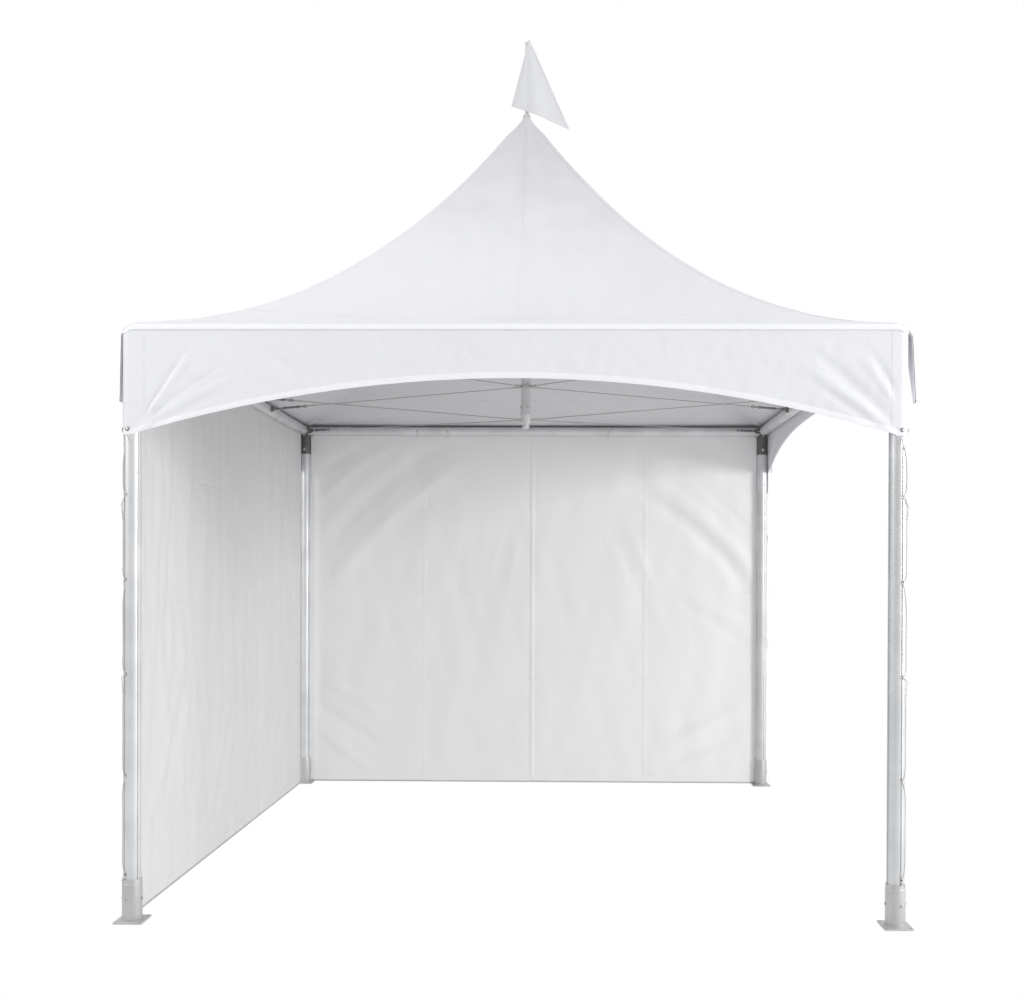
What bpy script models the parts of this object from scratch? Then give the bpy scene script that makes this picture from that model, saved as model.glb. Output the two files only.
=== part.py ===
"""High peak frame tent, three metres square, with two sidewalls and a pennant.

Metres, +Z up, origin on the ground under the centre of the tent. The front is
open and faces -Y, the right side is open and faces +X, and the back and the
left side carry a wall each.
"""

import math

import bmesh
import bpy
from mathutils import Vector

# Clearance between pieces that touch
GAP = 0.0003

# Plan of the frame: legs stand on a square with this half side
HALF = 1.490
CORNERS = {
    "front_left": (-1, -1),
    "front_right": (1, -1),
    "back_left": (-1, 1),
    "back_right": (1, 1),
}

# Feet
PLATE_SIDE = 0.112
PLATE_THICK = 0.008
SOCKET_TOP = 0.168
SOCKET_WALL = 0.004
SOCKET_PLAY = 2.0 * GAP
ANCHOR_HOLE_R = 0.006
ANCHOR_HOLE_AT = 0.046
ANCHOR_HOLE_SIDES = 10

# Legs: round extrusions with four lacing tracks
LEG_R = 0.034
LEG_TOP = 2.150
LEG_SIDES = 20
TRACK_WIDTH = 0.012
TRACK_DEPTH = 0.006
TRACK_TURNS = {"left": math.radians(50.0), "right": math.radians(16.0)}

# Eave rails and corner fittings
RAIL_Z = 2.300
RAIL_R = 0.030
RAIL_SIDES = 20
SLEEVE_R = 0.031
SLEEVE_TOP = 2.3295
STUB_LENGTH = 0.066
LUG_REACH = 0.062
LUG_WIDTH = 0.016
LUG_HEIGHT = 0.030
LUG_ROOT = 0.020

# Mast in the middle, hung on stays
MAST_R = 0.024
MAST_TOP = 3.640
MAST_FOOT_BOTTOM = 2.125
MAST_FOOT_NECK = 2.156
MAST_FOOT_TOP = 2.263
MAST_FOOT_R = 0.026
MAST_NECK_R = 0.0185
COLLAR_Z = 2.198
COLLAR_R = 0.030
COLLAR_HALF = 0.006
RING_Z = 2.342
RING_R = 0.036
RING_HALF = 0.008
ROUND_SIDES = 16
SHARP_EDGE = math.radians(35.0)

# Stays
STAY_R = 0.003
STAY_SIDES = 8
STAY_MARGIN = 0.15
STAY_FOOT_Z = 2.172
SCREW_R = 0.009
SCREW_LENGTH = 0.170
SCREW_BACK = 0.030
SCREW_TAPER = 0.012
RAIL_LUG_OUT = 0.014
UPPER_LUG_Y = 0.500
LOWER_LUG_Y = 0.080

# Canopy: height over a square ring that is a share s of the way to the eave
EAVE_HALF = 1.5283
EAVE_Z = 2.3380
CANOPY_LINEAR = 0.265
CANOPY_SQUARE = 1.168
CANOPY_SAG = 0.055
CANOPY_THICK = 0.0075
PEAK_HOLE_R = 0.016
CANOPY_RINGS = (0.0, 0.03, 0.08, 0.14, 0.21, 0.29, 0.38, 0.48, 0.59, 0.70, 0.81, 0.91, 1.0)
CANOPY_STEPS = (-1.0, -0.975, -0.75, -0.5, -0.25, 0.0, 0.25, 0.5, 0.75, 0.975)
ROUND_UNTIL = 0.05
CORNER_CUT_POWER = 12

# Valances with an arched lower edge, wrapped half way round each corner leg. The front
# and back ones are deeper. The side ones are shallow, with a narrow tab down each leg.
CLOTH = 0.004
WRAP_R = LEG_R + GAP
WRAP_STEPS = 3
VALANCE_IN = HALF + WRAP_R
VALANCE_TAB_Z = 1.902
ARCH_STEPS = 16
TAB_SLANT = 0.003
FACE_ARCH = {"half": 1.470, "crown_z": 2.1215, "spring_z": 1.907, "power": 2}
SIDE_ARCH = {"half": 1.468, "crown_z": 2.221, "spring_z": 2.030, "power": 3}
ARCHES = {"front": FACE_ARCH, "right": SIDE_ARCH, "back": FACE_ARCH, "left": SIDE_ARCH}

# Corner flaps hang beside the side valances
FLAP_TOP = 2.315
FLAP_BOTTOM = 2.035
FLAP_FLARES = {"front_left": 0.010, "front_right": 0.028, "back_left": 0.028, "back_right": 0.018}
FLAP_WIDTH = 0.100
FLAP_FOOT_WIDTH = 0.030
FLAP_THICK = 0.003

# Sidewalls
WALL_HALF = 1.451
WALL_OUT = 1.502
WALL_THICK = 0.006
WALL_BOTTOM = 0.0095
WALL_LEFT_REAR = 1.405

# Peak cap, pole and pennant
CAP_BASE = 0.012
CAP_SHOULDER = 0.020
CAP_STEM_R = 0.0155
CAP_FLANGE_R = 0.0205
CAP_FLANGE_THICK = 0.006
CAP_TOP = 3.756
POLE_R = 0.011
POLE_TOP = 4.132
PENNANT_THICK = 0.004
PENNANT = ((0.010, 4.147), (-0.080, 3.794), (0.221, 3.679))

# Lacing cord on each leg
CORD_R = 0.0025
CORD_TOP = 1.860
CORD_BOTTOM = 0.200
CORD_STEPS = 26
CORD_ANGLE = math.radians(78.0)
CORD_WANDER = math.radians(6.0)
CORD_WAVES = 3.5

FINISHES = {
    "leg_aluminium": ((0.80, 0.81, 0.83), 0.35, 0.9),
    "rail_aluminium": ((0.74, 0.75, 0.77), 0.35, 0.9),
    "foot_steel": ((0.62, 0.63, 0.64), 0.5, 0.8),
    "fitting_steel": ((0.16, 0.17, 0.18), 0.5, 0.7),
    "mast_aluminium": ((0.66, 0.67, 0.69), 0.4, 0.9),
    "stay_wire": ((0.45, 0.46, 0.48), 0.4, 0.9),
    "white_vinyl": ((0.88, 0.89, 0.92), 0.45, 0.0),
    "wall_vinyl": ((0.74, 0.75, 0.77), 0.45, 0.0),
    "pennant_cloth": ((0.92, 0.92, 0.93), 0.6, 0.0),
    "lacing_cord": ((0.90, 0.90, 0.88), 0.8, 0.0),
}


def clear_scene():
    """Remove every object of the open scene."""
    for item in list(bpy.data.objects):
        bpy.data.objects.remove(item, do_unlink=True)


def finish(name):
    """Return the named Principled material, made on first use."""
    found = bpy.data.materials.get(name)
    if found:
        return found
    colour, roughness, metallic = FINISHES[name]
    made = bpy.data.materials.new(name)
    made.use_nodes = True
    shader = made.node_tree.nodes["Principled BSDF"]
    shader.inputs["Base Color"].default_value = (*colour, 1.0)
    shader.inputs["Roughness"].default_value = roughness
    shader.inputs["Metallic"].default_value = metallic
    return made


def add_object(name, points, faces, slot, smooth=False):
    """Make a mesh object from points and faces, with outward normals."""
    mesh = bpy.data.meshes.new(name)
    mesh.from_pydata([tuple(p) for p in points], [], faces)
    work = bmesh.new()
    work.from_mesh(mesh)
    bmesh.ops.recalc_face_normals(work, faces=work.faces)
    work.to_mesh(mesh)
    work.free()
    mesh.validate()
    item = bpy.data.objects.new(name, mesh)
    bpy.context.collection.objects.link(item)
    item.data.materials.append(finish(slot))
    if smooth:
        mesh.shade_smooth()
        mesh.set_sharp_from_angle(angle=SHARP_EDGE)
    return item


def loft(rings):
    """Return points and faces of a closed solid through rings of equal length."""
    count = len(rings[0])
    points = [p for ring in rings for p in ring]
    faces = []
    for level in range(len(rings) - 1):
        low = level * count
        high = low + count
        for k in range(count):
            n = (k + 1) % count
            faces.append((low + k, low + n, high + n, high + k))
    faces.append(tuple(reversed(range(count))))
    top = (len(rings) - 1) * count
    faces.append(tuple(top + k for k in range(count)))
    return points, faces


def circle(radius, sides, turn=0.0):
    """Return the points of a circle in the plane, starting at angle turn."""
    angles = [turn + 2.0 * math.pi * k / sides for k in range(sides)]
    return [(radius * math.cos(angle), radius * math.sin(angle)) for angle in angles]


def turned(name, profile, centre, slot, sides=ROUND_SIDES):
    """Turn a profile of radius and height pairs about a vertical axis."""
    rings = []
    for radius, height in profile:
        flat = circle(radius, sides, math.pi / sides)
        rings.append([(centre[0] + x, centre[1] + y, height) for x, y in flat])
    points, faces = loft(rings)
    return add_object(name, points, faces, slot, smooth=True)


def rod(name, start, end, stations, sides, slot):
    """Make a round bar from start to end, with distance and radius stations."""
    start = Vector(start)
    axis = (Vector(end) - start).normalized()
    side = axis.cross(Vector((0, 0, 1))).normalized()
    up = side.cross(axis)
    rings = []
    for distance, radius in stations:
        centre = start + axis * distance
        flat = circle(radius, sides)
        rings.append([centre + side * x + up * y for x, y in flat])
    points, faces = loft(rings)
    return add_object(name, points, faces, slot, smooth=True)


def box_object(name, low, high, slot):
    """Make an upright box between two corners."""
    flat = [(low[0], low[1]), (high[0], low[1]), (high[0], high[1]), (low[0], high[1])]
    rings = [[(x, y, z) for x, y in flat] for z in (low[2], high[2])]
    points, faces = loft(rings)
    return add_object(name, points, faces, slot)


def combine(target, tool, operation):
    """Add or cut with a helper object, which is left out of the build."""
    tool.hide_render = True
    tool.display_type = "WIRE"
    change = target.modifiers.new(tool.name, "BOOLEAN")
    change.operation = operation
    change.solver = "EXACT"
    change.object = tool


def leg_outline(turn):
    """Return the leg's section: a circle with four tracks cut into it."""
    outline = []
    half_angle = math.asin(0.5 * TRACK_WIDTH / LEG_R)
    floor_r = LEG_R - TRACK_DEPTH
    floor_angle = math.asin(0.5 * TRACK_WIDTH / floor_r)
    arc_steps = LEG_SIDES // 4
    for quarter in range(4):
        middle = turn + quarter * 0.5 * math.pi
        lips = ((LEG_R, -half_angle), (floor_r, -floor_angle))
        track = (*lips, (floor_r, floor_angle), (LEG_R, half_angle))
        for radius, offset in track:
            angle = middle + offset
            outline.append((radius * math.cos(angle), radius * math.sin(angle)))
        span = 0.5 * math.pi - 2.0 * half_angle
        for k in range(1, arc_steps):
            angle = middle + half_angle + span * k / arc_steps
            outline.append((LEG_R * math.cos(angle), LEG_R * math.sin(angle)))
    return outline


def build_leg(corner, sx, sy):
    """Make one leg, its tracks turned the same way as on the other leg of its side."""
    outline = leg_outline(TRACK_TURNS["left" if sx < 0 else "right"])
    rings = [
        [(sx * HALF + x, sy * HALF + y, z) for x, y in outline]
        for z in (PLATE_THICK + GAP, LEG_TOP - GAP)
    ]
    points, faces = loft(rings)
    add_object(f"leg_{corner}", points, faces, "leg_aluminium", smooth=True)


def build_foot(corner, sx, sy):
    """Make one foot: a square plate with anchor holes and a socket tube."""
    x, y = sx * HALF, sy * HALF
    reach = 0.5 * PLATE_SIDE
    low = (x - reach, y - reach, 0.0)
    high = (x + reach, y + reach, PLATE_THICK)
    foot = box_object(f"foot_{corner}", low, high, "foot_steel")
    inner = (LEG_R + SOCKET_PLAY) / math.cos(math.pi / LEG_SIDES)
    outer = LEG_R + SOCKET_PLAY + SOCKET_WALL
    tube = turned(
        f"cut_tube_{corner}",
        ((outer, 0.5 * PLATE_THICK), (outer, SOCKET_TOP)),
        (x, y),
        "foot_steel",
        sides=LEG_SIDES,
    )
    bore = turned(
        f"cut_bore_{corner}",
        ((inner, PLATE_THICK), (inner, SOCKET_TOP + PLATE_THICK)),
        (x, y),
        "foot_steel",
        sides=LEG_SIDES,
    )
    combine(foot, tube, "UNION")
    combine(foot, bore, "DIFFERENCE")
    for hx, hy in CORNERS.values():
        hole = turned(
            f"cut_hole_{corner}_{hx}_{hy}",
            ((ANCHOR_HOLE_R, -PLATE_THICK), (ANCHOR_HOLE_R, 2.0 * PLATE_THICK)),
            (x + hx * ANCHOR_HOLE_AT, y + hy * ANCHOR_HOLE_AT),
            "foot_steel",
            sides=ANCHOR_HOLE_SIDES,
        )
        combine(foot, hole, "DIFFERENCE")


def build_corner_fitting(corner, sx, sy):
    """Make one three-way fitting: a sleeve, two stubs and a lug for a stay."""
    x, y = sx * HALF, sy * HALF
    fitting = turned(
        f"corner_fitting_{corner}",
        ((SLEEVE_R, LEG_TOP), (SLEEVE_R, SLEEVE_TOP)),
        (x, y),
        "fitting_steel",
        sides=RAIL_SIDES,
    )
    for label, direction in (("x", Vector((-sx, 0, 0))), ("y", Vector((0, -sy, 0)))):
        start = Vector((x, y, RAIL_Z))
        stub = rod(
            f"cut_stub_{label}_{corner}",
            start,
            start + direction,
            ((0.0, RAIL_R - 2.0 * GAP), (STUB_LENGTH, RAIL_R - 2.0 * GAP)),
            RAIL_SIDES,
            "fitting_steel",
        )
        combine(fitting, stub, "UNION")
    inward = Vector((-sx, -sy, 0)).normalized()
    across = Vector((0, 0, 1)).cross(inward)
    flat = (
        inward * LUG_ROOT - across * LUG_WIDTH * 0.5,
        inward * LUG_REACH - across * LUG_WIDTH * 0.5,
        inward * LUG_REACH + across * LUG_WIDTH * 0.5,
        inward * LUG_ROOT + across * LUG_WIDTH * 0.5,
    )
    rings = [
        [Vector((x, y, RAIL_Z + level * LUG_HEIGHT * 0.5)) + p for p in flat]
        for level in (-1, 1)
    ]
    points, faces = loft(rings)
    lug = add_object(f"cut_lug_{corner}", points, faces, "fitting_steel")
    combine(fitting, lug, "UNION")


def add_rail_lugs(rail, x):
    """Weld the two stay lugs to the inner side of a side rail at x."""
    side = math.copysign(1.0, x)
    far = side * (HALF - RAIL_R - RAIL_LUG_OUT)
    root = side * (HALF - 0.5 * RAIL_R)
    for y in (UPPER_LUG_Y, LOWER_LUG_Y):
        lug = box_object(
            f"cut_lug_{rail.name}_{y}",
            (min(far, root), y - 0.5 * LUG_WIDTH, RAIL_Z - 0.5 * LUG_HEIGHT),
            (max(far, root), y + 0.5 * LUG_WIDTH, RAIL_Z + 0.5 * LUG_HEIGHT),
            "rail_aluminium",
        )
        combine(rail, lug, "UNION")


def build_rails():
    """Make the four eave rails between the stubs of the corner fittings."""
    end = HALF - STUB_LENGTH - GAP
    places = {
        "eave_rail_front": ((-end, -HALF), (end, -HALF)),
        "eave_rail_back": ((-end, HALF), (end, HALF)),
        "eave_rail_left": ((-HALF, -end), (-HALF, end)),
        "eave_rail_right": ((HALF, -end), (HALF, end)),
    }
    for name, (start, stop) in places.items():
        rail = rod(
            name,
            (*start, RAIL_Z),
            (*stop, RAIL_Z),
            ((0.0, RAIL_R), (2.0 * end, RAIL_R)),
            RAIL_SIDES,
            "rail_aluminium",
        )
        if start[0] == stop[0]:
            add_rail_lugs(rail, start[0])


def build_mast():
    """Make the mast, the socket under it and the ring that holds the stays."""
    turned("mast", ((MAST_R, MAST_FOOT_TOP + GAP), (MAST_R, MAST_TOP)), (0, 0), "mast_aluminium")
    foot_profile = (
        (MAST_NECK_R, MAST_FOOT_BOTTOM),
        (MAST_NECK_R, MAST_FOOT_NECK),
        (MAST_FOOT_R, MAST_FOOT_NECK),
        (MAST_FOOT_R, COLLAR_Z - COLLAR_HALF),
        (COLLAR_R, COLLAR_Z - COLLAR_HALF),
        (COLLAR_R, COLLAR_Z + COLLAR_HALF),
        (MAST_FOOT_R, COLLAR_Z + COLLAR_HALF),
        (MAST_FOOT_R, MAST_FOOT_TOP),
    )
    turned("mast_foot", foot_profile, (0, 0), "fitting_steel")
    ring_profile = ((RING_R, RING_Z - RING_HALF), (RING_R, RING_Z + RING_HALF))
    ring = turned("stay_ring", ring_profile, (0, 0), "fitting_steel")
    bore_r = (MAST_R + GAP) / math.cos(math.pi / ROUND_SIDES)
    bore = turned(
        "cut_ring_bore",
        ((bore_r, RING_Z - 2.0 * RING_HALF), (bore_r, RING_Z + 2.0 * RING_HALF)),
        (0, 0),
        "fitting_steel",
    )
    combine(ring, bore, "DIFFERENCE")


def stay_stations(length):
    """Return the stations of a stay: wire, then a straining screw at its end."""
    screw_end = length - SCREW_BACK
    screw_start = screw_end - SCREW_LENGTH
    return (
        (0.0, STAY_R),
        (screw_start, STAY_R),
        (screw_start + SCREW_TAPER, SCREW_R),
        (screw_end - SCREW_TAPER, SCREW_R),
        (screw_end, STAY_R),
        (length, STAY_R),
    )


def stay(name, inner_r, inner_z, face, normal):
    """Make a stay from the mast's side at inner_z out to a lug's flat face."""
    face = Vector(face)
    outward = Vector((face.x, face.y, 0.0)).normalized()
    flat_r = inner_r * math.cos(math.pi / ROUND_SIDES) + GAP + STAY_R * STAY_MARGIN
    start = outward * flat_r + Vector((0, 0, inner_z))
    lean = (face - start).normalized().dot(Vector(normal).normalized())
    end = face - outward * (GAP + STAY_R * math.sqrt(1.0 - lean * lean))
    rod(name, start, end, stay_stations((end - start).length), STAY_SIDES, "stay_wire")


def build_stays():
    """Make the eight stays, four from the ring and four from the mast's foot."""
    ring = (RING_R, RING_Z)
    foot = (MAST_FOOT_R, STAY_FOOT_Z)
    corner_reach = HALF - LUG_REACH / math.sqrt(2.0)
    for corner, (sx, sy) in CORNERS.items():
        face = (sx * corner_reach, sy * corner_reach, RAIL_Z)
        inner = ring if sy < 0 else foot
        stay(f"stay_{corner}", *inner, face, (sx, sy, 0))
    side_reach = HALF - RAIL_R - RAIL_LUG_OUT
    for side, sx in (("left", -1), ("right", 1)):
        stay(f"stay_upper_{side}", *ring, (sx * side_reach, UPPER_LUG_Y, RAIL_Z), (sx, 0, 0))
        stay(f"stay_lower_{side}", *foot, (sx * side_reach, LOWER_LUG_Y, RAIL_Z), (sx, 0, 0))


def canopy_height(share, across):
    """Return the outer height at a share of the way out and of the ring's side."""
    rest = 1.0 - share
    height = EAVE_Z + CANOPY_LINEAR * rest + CANOPY_SQUARE * rest * rest
    belly = math.sin(math.pi * share) * (1.0 - across * across)
    return height - CANOPY_SAG * belly


def canopy_ring(share):
    """Return one ring's points: round at the peak, then square, its eave corners cut."""
    low = PEAK_HOLE_R / EAVE_HALF
    out = low + (1.0 - low) * share
    reach = EAVE_HALF * out
    square_share = min(1.0, share / ROUND_UNTIL)
    corner_cut = (WRAP_R + CLOTH) * (1.0 - math.sqrt(0.5)) * share**CORNER_CUT_POWER
    ring = []
    for side in range(4):
        turn = side * 0.5 * math.pi
        for across in CANOPY_STEPS:
            angle = across * 0.25 * math.pi
            square = Vector((reach * across, -reach))
            if across == -1.0:
                square += Vector((corner_cut, corner_cut))
            rounded = Vector((reach * math.sin(angle), -reach * math.cos(angle)))
            flat = rounded.lerp(square, square_share)
            x = flat.x * math.cos(turn) - flat.y * math.sin(turn)
            y = flat.x * math.sin(turn) + flat.y * math.cos(turn)
            ring.append((x, y, canopy_height(out, across)))
    return ring


def build_canopy():
    """Make the roof sheet as a shell with a round hole at its peak."""
    rings = [canopy_ring(share) for share in CANOPY_RINGS]
    count = 4 * len(CANOPY_STEPS)
    levels = len(rings)
    points = [p for ring in rings for p in ring]
    points += [(x, y, z - CANOPY_THICK) for ring in rings for x, y, z in ring]
    under = count * levels
    faces = []
    for level in range(levels - 1):
        low = level * count
        high = low + count
        for k in range(count):
            n = (k + 1) % count
            faces.append((low + k, low + n, high + n, high + k))
            faces.append((under + low + k, under + high + k, under + high + n, under + low + n))
    outer = (levels - 1) * count
    for k in range(count):
        n = (k + 1) % count
        faces.append((k, under + k, under + n, n))
        faces.append((outer + k, outer + n, under + outer + n, under + outer + k))
    add_object("canopy", points, faces, "white_vinyl", smooth=True)


def arch_height(along, arch):
    """Return the height of a valance's lower edge."""
    if abs(along) > arch["half"]:
        return VALANCE_TAB_Z
    ratio = abs(along) / arch["half"]
    return arch["crown_z"] - (arch["crown_z"] - arch["spring_z"]) * ratio ** arch["power"]


def valance_stations(arch):
    """Return a front valance's stations, each a place along it and a turn round a leg."""
    stop = 0.25 * math.pi - 0.5 * GAP / WRAP_R
    turns = [stop * (1.0 - k / WRAP_STEPS) for k in range(WRAP_STEPS)]
    half, tab = arch["half"], arch["half"] + TAB_SLANT
    curve = [half * (2.0 * k / ARCH_STEPS - 1.0) for k in range(ARCH_STEPS + 1)]
    stations = [(-HALF, -turn) for turn in turns]
    stations += [(x, 0.0) for x in (-HALF, -tab, *curve, tab, HALF)]
    stations += [(HALF, turn) for turn in reversed(turns)]
    return stations


def build_valances():
    """Make the four valances, each with an arched lower edge and wrapped ends."""
    top = EAVE_Z - CANOPY_THICK - GAP
    for quarter, (side, arch) in enumerate(ARCHES.items()):
        angle = quarter * 0.5 * math.pi
        rings = []
        for along, lean in valance_stations(arch):
            ring = []
            low = arch_height(along, arch)
            for radius, z in ((WRAP_R, low), (WRAP_R + CLOTH, low), (WRAP_R + CLOTH, top), (WRAP_R, top)):
                x = along + radius * math.sin(lean)
                y = -HALF - radius * math.cos(lean)
                px = x * math.cos(angle) - y * math.sin(angle)
                py = x * math.sin(angle) + y * math.cos(angle)
                ring.append((px, py, z))
            rings.append(ring)
        points, faces = loft(rings)
        add_object(f"valance_{side}", points, faces, "white_vinyl")


def build_corner_flap(corner, sx, sy):
    """Make the loose flap that hangs beside a side valance, narrower towards its foot."""
    inner = VALANCE_IN + CLOTH + GAP
    foot = inner + FLAP_FLARES[corner]
    section = (
        (inner, FLAP_TOP, FLAP_WIDTH),
        (inner + FLAP_THICK, FLAP_TOP, FLAP_WIDTH),
        (foot + FLAP_THICK, FLAP_BOTTOM, FLAP_FOOT_WIDTH),
        (foot, FLAP_BOTTOM, FLAP_FOOT_WIDTH),
    )
    rings = [
        [(sx * x, sy * (HALF - share * width), z) for x, z, width in section] for share in (1.0, 0.0)
    ]
    points, faces = loft(rings)
    add_object(f"corner_flap_{corner}", points, faces, "white_vinyl")


def build_walls():
    """Make the back wall and the left wall, each hung below its eave rail."""
    near = WALL_OUT - 0.5 * WALL_THICK
    far = WALL_OUT + 0.5 * WALL_THICK
    top = RAIL_Z - math.sqrt(RAIL_R**2 - (near - HALF) ** 2) - GAP
    box_object("sidewall_back", (-WALL_HALF, near, WALL_BOTTOM), (WALL_HALF, far, top), "wall_vinyl")
    box_object("sidewall_left", (-far, -WALL_HALF, WALL_BOTTOM), (-near, WALL_LEFT_REAR, top), "wall_vinyl")


def build_peak():
    """Make the cap that clamps the canopy, the pole and the pennant."""
    sheet_top = canopy_height(PEAK_HOLE_R / EAVE_HALF, 1.0)
    cap_profile = (
        (MAST_R, MAST_TOP + GAP),
        (MAST_R, MAST_TOP + CAP_BASE),
        (CAP_STEM_R, MAST_TOP + CAP_SHOULDER),
        (CAP_STEM_R, sheet_top + GAP),
        (CAP_FLANGE_R, sheet_top + GAP),
        (CAP_FLANGE_R, sheet_top + CAP_FLANGE_THICK),
        (CAP_STEM_R, CAP_TOP),
    )
    turned("peak_cap", cap_profile, (0, 0), "fitting_steel")
    turned("pennant_pole", ((POLE_R, CAP_TOP + GAP), (POLE_R, POLE_TOP)), (0, 0), "mast_aluminium")
    near = -(POLE_R + GAP)
    rings = [[(x, y, z) for x, z in PENNANT] for y in (near - PENNANT_THICK, near)]
    points, faces = loft(rings)
    add_object("pennant", points, faces, "pennant_cloth")


def build_lacing(corner, sx, sy):
    """Make the lacing cord that winds down the outer side of a leg."""
    reach = LEG_R + CORD_R + GAP
    facing = math.atan2(sy, 0.0)
    outward = sx * (1 if sy < 0 else -1)
    curve = bpy.data.curves.new(f"lacing_cord_{corner}", "CURVE")
    curve.dimensions = "3D"
    curve.bevel_depth = CORD_R
    curve.bevel_resolution = 2
    curve.use_fill_caps = True
    spline = curve.splines.new("POLY")
    spline.points.add(CORD_STEPS)
    for k in range(CORD_STEPS + 1):
        share = k / CORD_STEPS
        wander = CORD_WANDER * math.sin(2.0 * math.pi * CORD_WAVES * share)
        angle = facing + outward * (CORD_ANGLE + wander)
        x = sx * HALF + reach * math.cos(angle)
        y = sy * HALF + reach * math.sin(angle)
        z = CORD_TOP + (CORD_BOTTOM - CORD_TOP) * share
        spline.points[k].co = (x, y, z, 1.0)
    item = bpy.data.objects.new(curve.name, curve)
    bpy.context.collection.objects.link(item)
    item.data.materials.append(finish("lacing_cord"))


def main():
    """Build the tent from the ground up."""
    clear_scene()
    for corner, (sx, sy) in CORNERS.items():
        build_foot(corner, sx, sy)
        build_leg(corner, sx, sy)
        build_corner_fitting(corner, sx, sy)
        build_corner_flap(corner, sx, sy)
        build_lacing(corner, sx, sy)
    build_rails()
    build_mast()
    build_stays()
    build_canopy()
    build_valances()
    build_walls()
    build_peak()


main()
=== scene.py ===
"""Studio scene of a white high peak frame tent, three metres square.

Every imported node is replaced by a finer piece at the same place: coated
fabric with folds, seams and hems, drawn aluminium legs with lacing tracks,
painted steel fittings, wire rope stays and braided lacing cords.
Metres, +Z up, the open front faces -Y.
"""

import logging
import math
from collections.abc import Callable, Sequence
from dataclasses import dataclass
from enum import Enum
from typing import Any

import bmesh
import bpy
import numpy as np
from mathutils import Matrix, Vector
from mathutils.geometry import tessellate_polygon


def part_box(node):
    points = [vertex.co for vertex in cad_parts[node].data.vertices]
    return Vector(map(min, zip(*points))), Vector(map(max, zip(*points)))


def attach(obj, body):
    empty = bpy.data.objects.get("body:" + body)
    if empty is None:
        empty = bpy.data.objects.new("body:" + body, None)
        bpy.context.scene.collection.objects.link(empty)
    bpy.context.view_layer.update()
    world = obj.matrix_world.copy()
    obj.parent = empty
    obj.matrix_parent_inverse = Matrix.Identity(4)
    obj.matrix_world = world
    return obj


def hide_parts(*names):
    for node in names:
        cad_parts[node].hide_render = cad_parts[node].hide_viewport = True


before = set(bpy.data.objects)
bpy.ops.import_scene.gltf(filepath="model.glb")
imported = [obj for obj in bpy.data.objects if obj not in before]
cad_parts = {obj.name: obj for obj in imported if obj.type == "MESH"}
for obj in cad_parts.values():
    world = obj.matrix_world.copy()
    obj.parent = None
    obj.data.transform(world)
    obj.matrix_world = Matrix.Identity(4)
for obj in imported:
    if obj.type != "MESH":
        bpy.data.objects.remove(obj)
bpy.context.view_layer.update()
LOG = logging.getLogger("tent")

Array = np.ndarray
UP = np.array((0.0, 0.0, 1.0))
FACING = "facing"
HELD_SHARP = math.radians(38.0)


class Corner(Enum):
    """The four corners, with the signs of X and Y."""

    FRONT_LEFT = (-1, -1)
    FRONT_RIGHT = (1, -1)
    BACK_LEFT = (-1, 1)
    BACK_RIGHT = (1, 1)

    @property
    def label(self) -> str:
        """Return the corner's name as the frame's nodes have it."""
        return self.name.lower()

    @property
    def signs(self) -> Array:
        """Return the signs as a vector in the plane."""
        return np.array(self.value, dtype=float)


class Side(Enum):
    """The four sides, counted in quarter turns from the front."""

    FRONT = 0
    RIGHT = 1
    BACK = 2
    LEFT = 3

    @property
    def label(self) -> str:
        """Return the side's name as the frame's nodes have it."""
        return self.name.lower()

    def place(self, points: Array) -> Array:
        """Turn points made for the front round to this side."""
        cosine, sine = ((1, 0), (0, 1), (-1, 0), (0, -1))[self.value]
        x, y, z = points[..., 0], points[..., 1], points[..., 2]
        return np.stack((x * cosine - y * sine, x * sine + y * cosine, z), axis=-1)


class Slot(Enum):
    """The record's material slots."""

    LEG = "leg_aluminium"
    RAIL = "rail_aluminium"
    FOOT = "foot_steel"
    FITTING = "fitting_steel"
    MAST = "mast_aluminium"
    STAY = "stay_wire"
    VINYL = "white_vinyl"
    WALL = "wall_vinyl"
    PENNANT = "pennant_cloth"
    CORD = "lacing_cord"


# ---- numbers and curves


def smooth_step(low: float, high: float, value: Array) -> Array:
    """Return 0 below low, 1 above high and a smooth rise between them."""
    share = np.clip((value - low) / (high - low), 0.0, 1.0)
    return share * share * (3.0 - 2.0 * share)


def unit(vectors: Array) -> Array:
    """Return the vectors at length one."""
    return vectors / np.maximum(np.linalg.norm(vectors, axis=-1, keepdims=True), 1e-12)


def stations(start: float, stop: float, step: float, marks: Sequence[float] = (), reach: float = 0.012) -> Array:
    """Return places from start to stop, closer together round each mark.

    Args:
        start: First place.
        stop: Last place.
        step: Widest step between places.
        marks: Places that need fine steps, such as seams.
        reach: How far the fine steps go on each side of a mark.

    Returns:
        Rising places, with both ends among them.
    """
    places = list(np.linspace(start, stop, max(2, math.ceil((stop - start) / step) + 1)))
    for mark in marks:
        places += [mark + reach * share for share in (-1.0, -0.6, -0.3, 0.0, 0.3, 0.6, 1.0)]
    kept = [start]
    for place in sorted(places):
        if kept[-1] + 0.0008 < place < stop - 0.0008:
            kept.append(place)
    return np.array([*kept, stop])


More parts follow.
